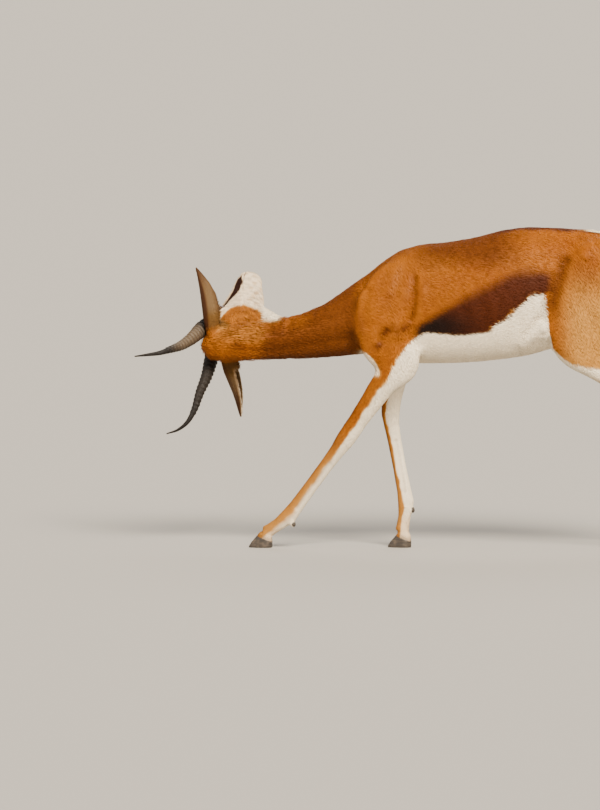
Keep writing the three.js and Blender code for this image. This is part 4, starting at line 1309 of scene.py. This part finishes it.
def makeHoofs():
    material = hoofFinish()
    for label in limbs.values():
        for number in (1, 2):
            node = f"{label}_claw_{number}"
            hoof = copyOf([node], f"hoof_{label}_{number}")
            refine(hoof, "REMESH", mode="VOXEL", voxel_size=hoofPlan["voxel"], adaptivity=0)
            points = pointsOf(hoof)
            smooth = smoothed(points, edgesOf(hoof), hoofPlan["passes"], hoofPlan["share"])
            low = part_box(node)[0][2]
            onSole = points[:, 2] < low + hoofPlan["sole"]
            smooth[:, 2] = np.where(onSole, low, np.maximum(smooth[:, 2], low))
            setPoints(hoof, smooth)
            finished(hoof, material, hoofPlan["crease"])
            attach(hoof, "root")
            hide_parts(node)
    print("hoofs made")
    return material


hoofMaterial = makeHoofs()


def makeDewclaws(material):    # two small horny buttons behind each fetlock
    for name, label in limbs.items():
        fetlock = np.array(ram[name][2], float)
        for number, side in enumerate(sides, 1):
            bpy.ops.object.select_all(action="DESELECT")
            bpy.ops.mesh.primitive_uv_sphere_add(segments=16, ring_count=12, radius=1)
            claw = bpy.context.object
            claw.name = f"dewclaw_{label}_{number}"
            local = pointsOf(claw)
            drop = (0.5 - 0.5 * local[:, 2])[:, None]
            size = np.array(hoofPlan["dewclawSize"]) * (1 - 0.35 * drop ** 2)
            local = local * size + drop * (hoofPlan["dewclawHook"], 0, 0)
            setPoints(claw, onBody(fetlock + onSide(hoofPlan["dewclawPlace"], side) + local))
            finished(claw, material)
            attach(claw, "root")
    print("dewclaws made")


makeDewclaws(hoofMaterial)


# Camera, light and floor

view = {
    "azimuth": 5, "elevation": 4, "distance": 20,
    "mmPerPixel": 2.4, "originPixel": (400, 548.5), "imageSize": (600, 810),
}


def makeCamera():
    a, e = math.radians(view["azimuth"]), math.radians(view["elevation"])
    right = np.array((math.cos(a), math.sin(a), 0))
    up = np.array((-math.sin(a) * math.sin(e), math.cos(a) * math.sin(e), math.cos(e)))
    back = np.array((math.sin(a) * math.cos(e), -math.cos(a) * math.cos(e), math.sin(e)))
    scale = view["mmPerPixel"] * 0.001
    across = (view["imageSize"][0] / 2 - view["originPixel"][0]) * scale
    high = (view["originPixel"][1] - view["imageSize"][1] / 2) * scale
    target = bodyZero + right * across + up * high
    data = bpy.data.cameras.new("camera")
    data.sensor_width = 36
    data.lens = data.sensor_width * view["distance"] / (view["imageSize"][1] * scale)
    data.clip_end = 500
    camera = bpy.data.objects.new("camera", data)
    camera.location = target + back * view["distance"]
    camera.rotation_euler = (-Vector(back)).to_track_quat("-Z", "Y").to_euler()
    bpy.context.collection.objects.link(camera)
    bpy.context.scene.camera = camera


makeCamera()


def makeStage():
    bpy.ops.mesh.primitive_plane_add(size=300)
    floor = bpy.context.object
    floor.name = "floor"
    material = bpy.data.materials.new("paleFloor")
    material.use_nodes = True
    shader = material.node_tree.nodes["Principled BSDF"]
    shader.inputs["Base Color"].default_value = finishes["floor"]
    shader.inputs["Roughness"].default_value = 0.9
    floor.data.materials.append(material)
    world = bpy.data.worlds.new("studio")
    bpy.context.scene.world = world
    world.use_nodes = True
    sky = world.node_tree.nodes["Background"]
    sky.inputs["Color"].default_value = finishes["studio"]
    sky.inputs["Strength"].default_value = 0.42
    lamps = (    # name, where it shines from, strength, angle of its disc, and tint
        ("keyLight", (0.42, -0.85, 0.82), 9.8, 28, (1, 0.91, 0.77)),
        ("fillLight", (-0.8, -0.5, 0.35), 0.8, 60, (1, 0.97, 0.93)),
        ("backLight", (0.2, 0.9, 0.8), 1.3, 40, (1, 0.97, 0.93)),
    )
    for name, source, strength, angle, tint in lamps:
        lamp = bpy.data.lights.new(name, "SUN")
        lamp.energy = strength
        lamp.angle = math.radians(angle)
        lamp.color = tint
        obj = bpy.data.objects.new(name, lamp)
        obj.rotation_euler = Vector(source).to_track_quat("Z", "Y").to_euler()
        bpy.context.collection.objects.link(obj)


makeStage()
